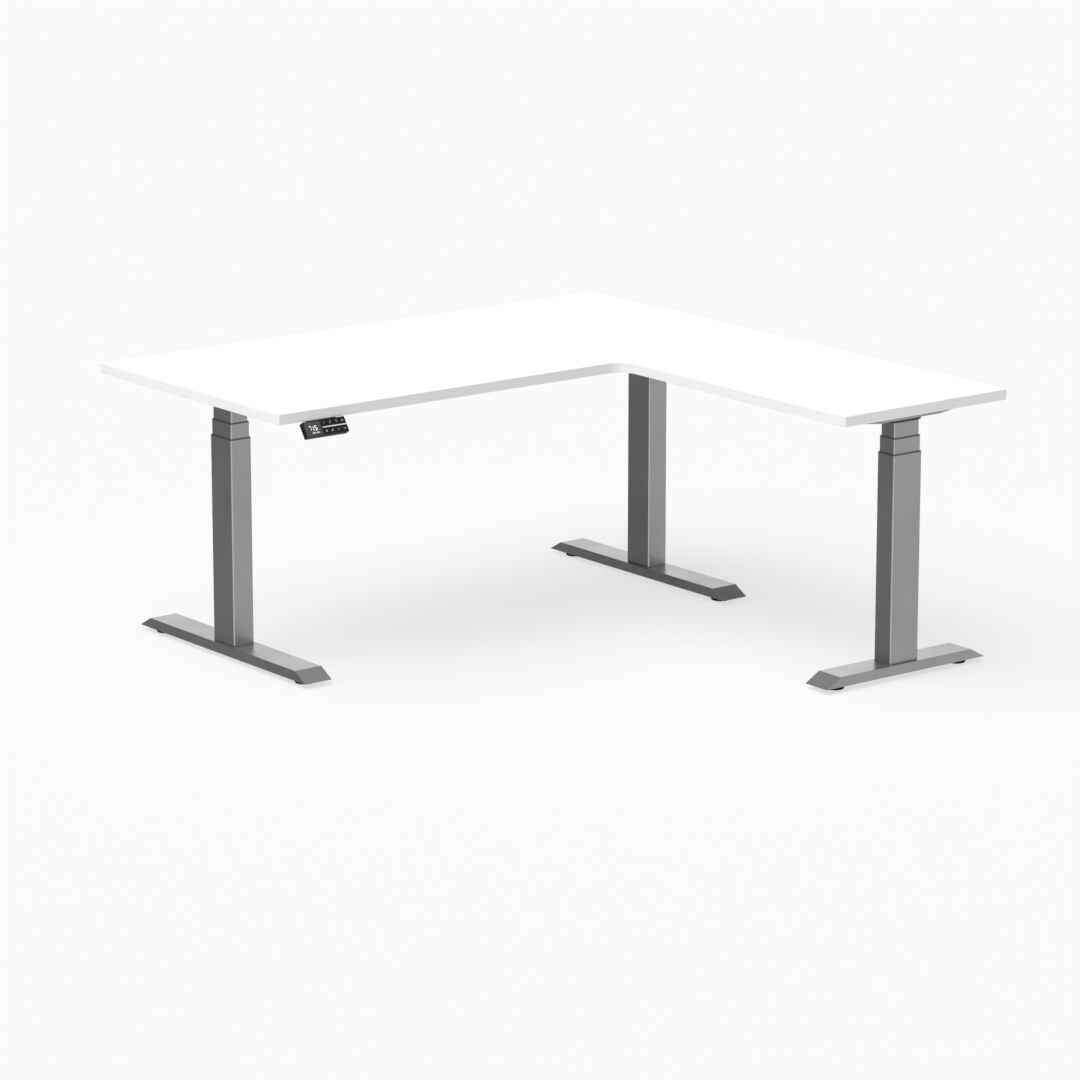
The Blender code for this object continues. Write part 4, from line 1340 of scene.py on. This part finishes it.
class DESK_OT_keypad(bpy.types.Operator):
    """Model the tilted keypad: case, window, reading, printed marks and eight keys"""

    bl_idname = "desk.keypad"
    bl_label = "Add Keypad"

    def execute(self, context):
        settings = context.scene.desk_keypad
        place = keypad_place()
        lens_low, lens_high = keypad_span("keypad_lens")
        _, last_high = keypad_span("key_upper_4")
        play = 0.0003
        margin = settings.rim + play
        low = Vector((lens_low.x - margin, lens_low.y - margin, 0))
        high = Vector((last_high.x + margin + play, lens_high.y + margin, 0))
        self.add_case(settings, place, low, high)
        self.add_window(place, lens_low, lens_high)
        self.add_reading(settings, place, lens_low.x)
        self.add_strip(place, high)
        self.add_keys(place)
        return {"FINISHED"}

    def add_case(self, settings, place, low, high):
        """The case with the lug behind it, and the lug's two screws."""
        case = moved(model_case(settings, low, high), place)
        housing_low, housing_high, _ = span("keypad_housing")
        top = housing_high.z
        middle_x = (housing_low.x + housing_high.x) / 2
        back = place @ Vector((0, high.y, -settings.case_depth))
        web_back = back.y - settings.case_rounding
        sheet, half_width, web_height = 0.003, 0.040, 0.0115
        web = block("web", (middle_x - half_width, web_back - sheet, top - web_height),
                    (middle_x + half_width, web_back, top - sheet / 2))
        lug = block("lug", (middle_x - half_width, web_back - sheet, top - sheet),
                    (middle_x + half_width, housing_high.y, top))
        with edit_mode(lug):
            pick("EDGE", lambda edge: runs_along(edge, 2)
                 and middle(edge).y > housing_high.y - TINY)
            bevel(0.006, 6)
        combine(case, web, "UNION")
        combine(case, lug, "UNION")
        case.name = "keypad_case"
        finish(case, moulded_black("keypad_moulding", (0.012, 0.012, 0.0125), 2200), "top",
               ["keypad_housing"], smooth=35)
        screw = cap_screw("screw", radius=0.0035, height=0.0022, shank=0.002)
        places = [head_down((middle_x + offset, housing_high.y - 0.010, top - sheet))
                  for offset in (-0.030, 0.030)]
        fasten("keypad_screws", screw, places)
        discard(screw)

    def add_window(self, place, lens_low, lens_high):
        """The smoked window that stands for the display's lens."""
        lens = block("window", lens_low, lens_high)
        with edit_mode(lens):
            round_uprights(0.0007, 4)
            pick("EDGE", lambda edge: is_level_rim(edge) and middle(edge).z > lens_high.z - TINY)
            bevel(0.00025, 3)
        lens = moved(lens, place)
        lens.name = "keypad_window"
        finish(lens, smoked_window(), "top", ["keypad_lens"])

    def add_reading(self, settings, place, window_left):
        """The lit digits and, below them, a row of small printed ticks."""
        height = settings.digit_height
        thickness, pitch = height * 0.13, height * 0.82
        point_half, point_room, narrow_shift = thickness * 0.6, height * 0.14, height * 0.22
        depth, raised = 0.00008, 0.00002
        left = window_left + 0.0105
        base = -height * 0.40
        bars = []
        x = left
        for symbol in f"{settings.reading:.1f}":
            if symbol == ".":
                dot = x - height * 0.11
                bars.append(block("point", (dot - point_half, -point_half, 0),
                                  (dot + point_half, point_half, depth)))
                x += point_room
                continue
            if symbol == "1":
                x -= narrow_shift
            for bar in segment_bars(symbol, height, thickness, depth):
                bars.append(moved(bar, Matrix.Translation((x, 0, 0))))
            x += pitch
        lift = Matrix.Translation((0, base, raised))
        digits = moved(join("display_digits", bars), place @ lift)
        finish(digits, lit_segments(), "top")
        ticks = []
        for index, length in enumerate((0.0046, 0.0030, 0.0048, 0.0036)):
            x = left + 0.0060 + index * 0.0052
            tick = block("tick", (x, 0, 0), (x + length, 0.0030, depth))
            ticks.append(soften(tick, 0.00002, 1))
        lift = Matrix.Translation((0, base - height * 0.72, raised))
        finish(moved(join("display_ticks", ticks), place @ lift), printed_white(), "top")

    def add_strip(self, place, high):
        """The white line on the rib between the two rows of keys."""
        first_low, _ = keypad_span("key_upper_1")
        strip = block("strip", (first_low.x + 0.0006, -0.0014, 0.00002),
                      (high.x - 0.0004, 0.0014, 0.00022))
        with edit_mode(strip):
            round_uprights(0.0009, 5)
        strip = moved(strip, place)
        strip.name = "keypad_strip"
        finish(strip, printed_white(), "top")

    def add_keys(self, place):
        """Eight caps from one, each with its own printed mark that moves with it."""
        cap = model_key_cap()
        mark_depth, below_face = 0.00006, 0.00018
        for row in ("upper", "lower"):
            for column in range(1, 5):
                node = f"key_{row}_{column}"
                low, high = keypad_span(node)
                centre = (low + high) / 2
                face = place @ Matrix.Translation((centre.x, centre.y, high.z))
                key = moved(duplicate(cap, f"cap_{row}_{column}"), face)
                finish(key, moulded_black("key_moulding", (0.011, 0.011, 0.0115), 2400), node,
                       [node])
                mark = key_mark(row, column, mark_depth)
                mark = moved(mark, face @ Matrix.Translation((0, 0, -below_face)))
                mark.name = f"mark_{row}_{column}"
                mark.data.name = mark.name
                finish(mark, printed_white(), node)
        discard(cap)


# Stage

def floor_material(glow):
    """A pale seamless floor that glows a little, so that shadows on it stay light."""
    material = bpy.data.materials.new("pale_floor")
    material.use_nodes = True
    tree = material.node_tree
    shader = tree.nodes["Principled BSDF"]
    shader.inputs["Base Color"].default_value = (0.26, 0.26, 0.26, 1)
    shader.inputs["Roughness"].default_value = 1.0
    shader.inputs["Specular IOR Level"].default_value = 0.0
    shader.inputs["Emission Color"].default_value = (1, 1, 1, 1)
    shader.inputs["Emission Strength"].default_value = glow
    return material


def lobe(tree, direction, start, end, low, high):
    """A node whose value goes from low to high as the sky nears one direction."""
    sky = add_node(tree, "ShaderNodeTexCoord")
    near = add_node(tree, "ShaderNodeVectorMath", {1: Vector(direction).normalized()},
                    operation="DOT_PRODUCT")
    level = add_node(tree, "ShaderNodeMapRange",
                     {"From Min": start, "From Max": end, "To Min": low, "To Max": high},
                     interpolation_type="SMOOTHSTEP")
    wire(tree, (sky, "Generated", near, 0), (near, "Value", level, "Value"))
    return level


def studio_world(strength):
    """An even dome for soft light, with a dark side and a soft box for what glossy metal shows."""
    world = bpy.data.worlds.new("studio")
    world.use_nodes = True
    tree = world.node_tree
    tree.nodes.clear()
    even = add_node(tree, "ShaderNodeBackground", {"Color": (1, 1, 1, 1), "Strength": strength})
    seen = add_node(tree, "ShaderNodeBackground", {"Color": (1, 1, 1, 1), "Strength": 0.955})
    mirrored = add_node(tree, "ShaderNodeBackground", {"Color": (1, 1, 1, 1)})
    dark_side = lobe(tree, (-0.613, 0.790, 0.0), start=0.25, end=0.85, low=1.0, high=0.2)
    overhead = lobe(tree, (0, 0.45, 0.9), start=0.55, end=0.8, low=1.0, high=0.0)
    soft_box = lobe(tree, (-0.77, -0.60, -0.2), start=0.84, end=0.98, low=0.0, high=1.15)
    far_glow = lobe(tree, (0.6, 0.77, 0.15), start=0.75, end=0.97, low=0.0, high=0.8)
    shaded = add_node(tree, "ShaderNodeMath", operation="MULTIPLY")
    lights = add_node(tree, "ShaderNodeMath", operation="ADD")
    total = add_node(tree, "ShaderNodeMath", operation="ADD")
    wire(
        tree, (dark_side, "Result", shaded, 0), (overhead, "Result", shaded, 1),
        (soft_box, "Result", lights, 0), (far_glow, "Result", lights, 1),
        (shaded, "Value", total, 0), (lights, "Value", total, 1),
        (total, "Value", mirrored, "Strength"),
    )
    path = add_node(tree, "ShaderNodeLightPath")
    for_gloss = add_node(tree, "ShaderNodeMixShader")
    for_camera = add_node(tree, "ShaderNodeMixShader")
    output = add_node(tree, "ShaderNodeOutputWorld")
    wire(
        tree, (path, "Is Glossy Ray", for_gloss, 0), (even, 0, for_gloss, 1),
        (mirrored, 0, for_gloss, 2), (path, "Is Camera Ray", for_camera, 0),
        (for_gloss, 0, for_camera, 1), (seen, 0, for_camera, 2),
        (for_camera, 0, output, "Surface"),
    )
    return world


class DESK_OT_stage(bpy.types.Operator):
    """Set up the floor, the studio light and the camera"""

    bl_idname = "desk.stage"
    bl_label = "Set Up Stage"

    def execute(self, context):
        settings = context.scene.desk_stage
        deselect()
        bpy.ops.mesh.primitive_plane_add(size=80)
        floor = named("floor")
        floor.data.materials.append(floor_material(settings.floor_glow))
        floor.visible_glossy = False

        context.scene.world = studio_world(settings.sky_strength)
        sun = bpy.data.lights.new("key_light", "SUN")
        sun.energy = settings.key_strength
        sun.angle = math.radians(60)
        key = bpy.data.objects.new("key_light", sun)
        towards = Vector((-0.43, 0.05, 0.90)).normalized()
        key.rotation_euler = towards.to_track_quat("Z", "Y").to_euler()
        key.location = towards * 6
        key.visible_glossy = False
        context.scene.collection.objects.link(key)

        lens = bpy.data.cameras.new("studio_camera")
        lens.lens = settings.lens * 1000
        lens.sensor_width = 36
        lens.clip_end = 200
        camera = bpy.data.objects.new("studio_camera", lens)
        camera.location = (-6.5042, -8.3645, 2.8542)
        view = Vector((0.59509, 0.76786, -0.23723))
        camera.rotation_euler = view.to_track_quat("-Z", "Y").to_euler()
        context.scene.collection.objects.link(camera)
        context.scene.camera = camera
        context.scene.view_settings.view_transform = "Standard"
        return {"FINISHED"}


# Sidebar

STEPS = (
    DESK_OT_stage, DESK_OT_board, DESK_OT_feet, DESK_OT_glides, DESK_OT_columns, DESK_OT_motors,
    DESK_OT_support_arms, DESK_OT_beams, DESK_OT_control_box, DESK_OT_keypad,
)
SETTINGS = {
    "desk_board": DeskBoardSettings,
    "desk_frame": DeskFrameSettings,
    "desk_keypad": DeskKeypadSettings,
    "desk_stage": DeskStageSettings,
}


class DESK_PT_build(bpy.types.Panel):
    """Lists the desk's settings and the steps that build it"""

    bl_idname = "DESK_PT_build"
    bl_label = "Standing Desk"
    bl_space_type = "VIEW_3D"
    bl_region_type = "UI"
    bl_category = "Desk"

    def draw(self, context):
        for name, group in SETTINGS.items():
            box = self.layout.box()
            for prop in group.__annotations__:
                box.prop(getattr(context.scene, name), prop)
        column = self.layout.column()
        for step in STEPS:
            column.operator(step.bl_idname)


def register():
    for name, group in SETTINGS.items():
        bpy.utils.register_class(group)
        setattr(bpy.types.Scene, name, PointerProperty(type=group))
    for step in STEPS:
        bpy.utils.register_class(step)
    bpy.utils.register_class(DESK_PT_build)


def unregister():
    bpy.utils.unregister_class(DESK_PT_build)
    for step in reversed(STEPS):
        bpy.utils.unregister_class(step)
    for name, group in SETTINGS.items():
        delattr(bpy.types.Scene, name)
        bpy.utils.unregister_class(group)


def main():
    register()
    bpy.ops.desk.stage()
    bpy.ops.desk.board()
    bpy.ops.desk.feet()
    bpy.ops.desk.glides()
    bpy.ops.desk.columns()
    bpy.ops.desk.motors()
    bpy.ops.desk.support_arms()
    bpy.ops.desk.beams()
    bpy.ops.desk.control_box()
    bpy.ops.desk.keypad()


if __name__ == "__main__":
    main()
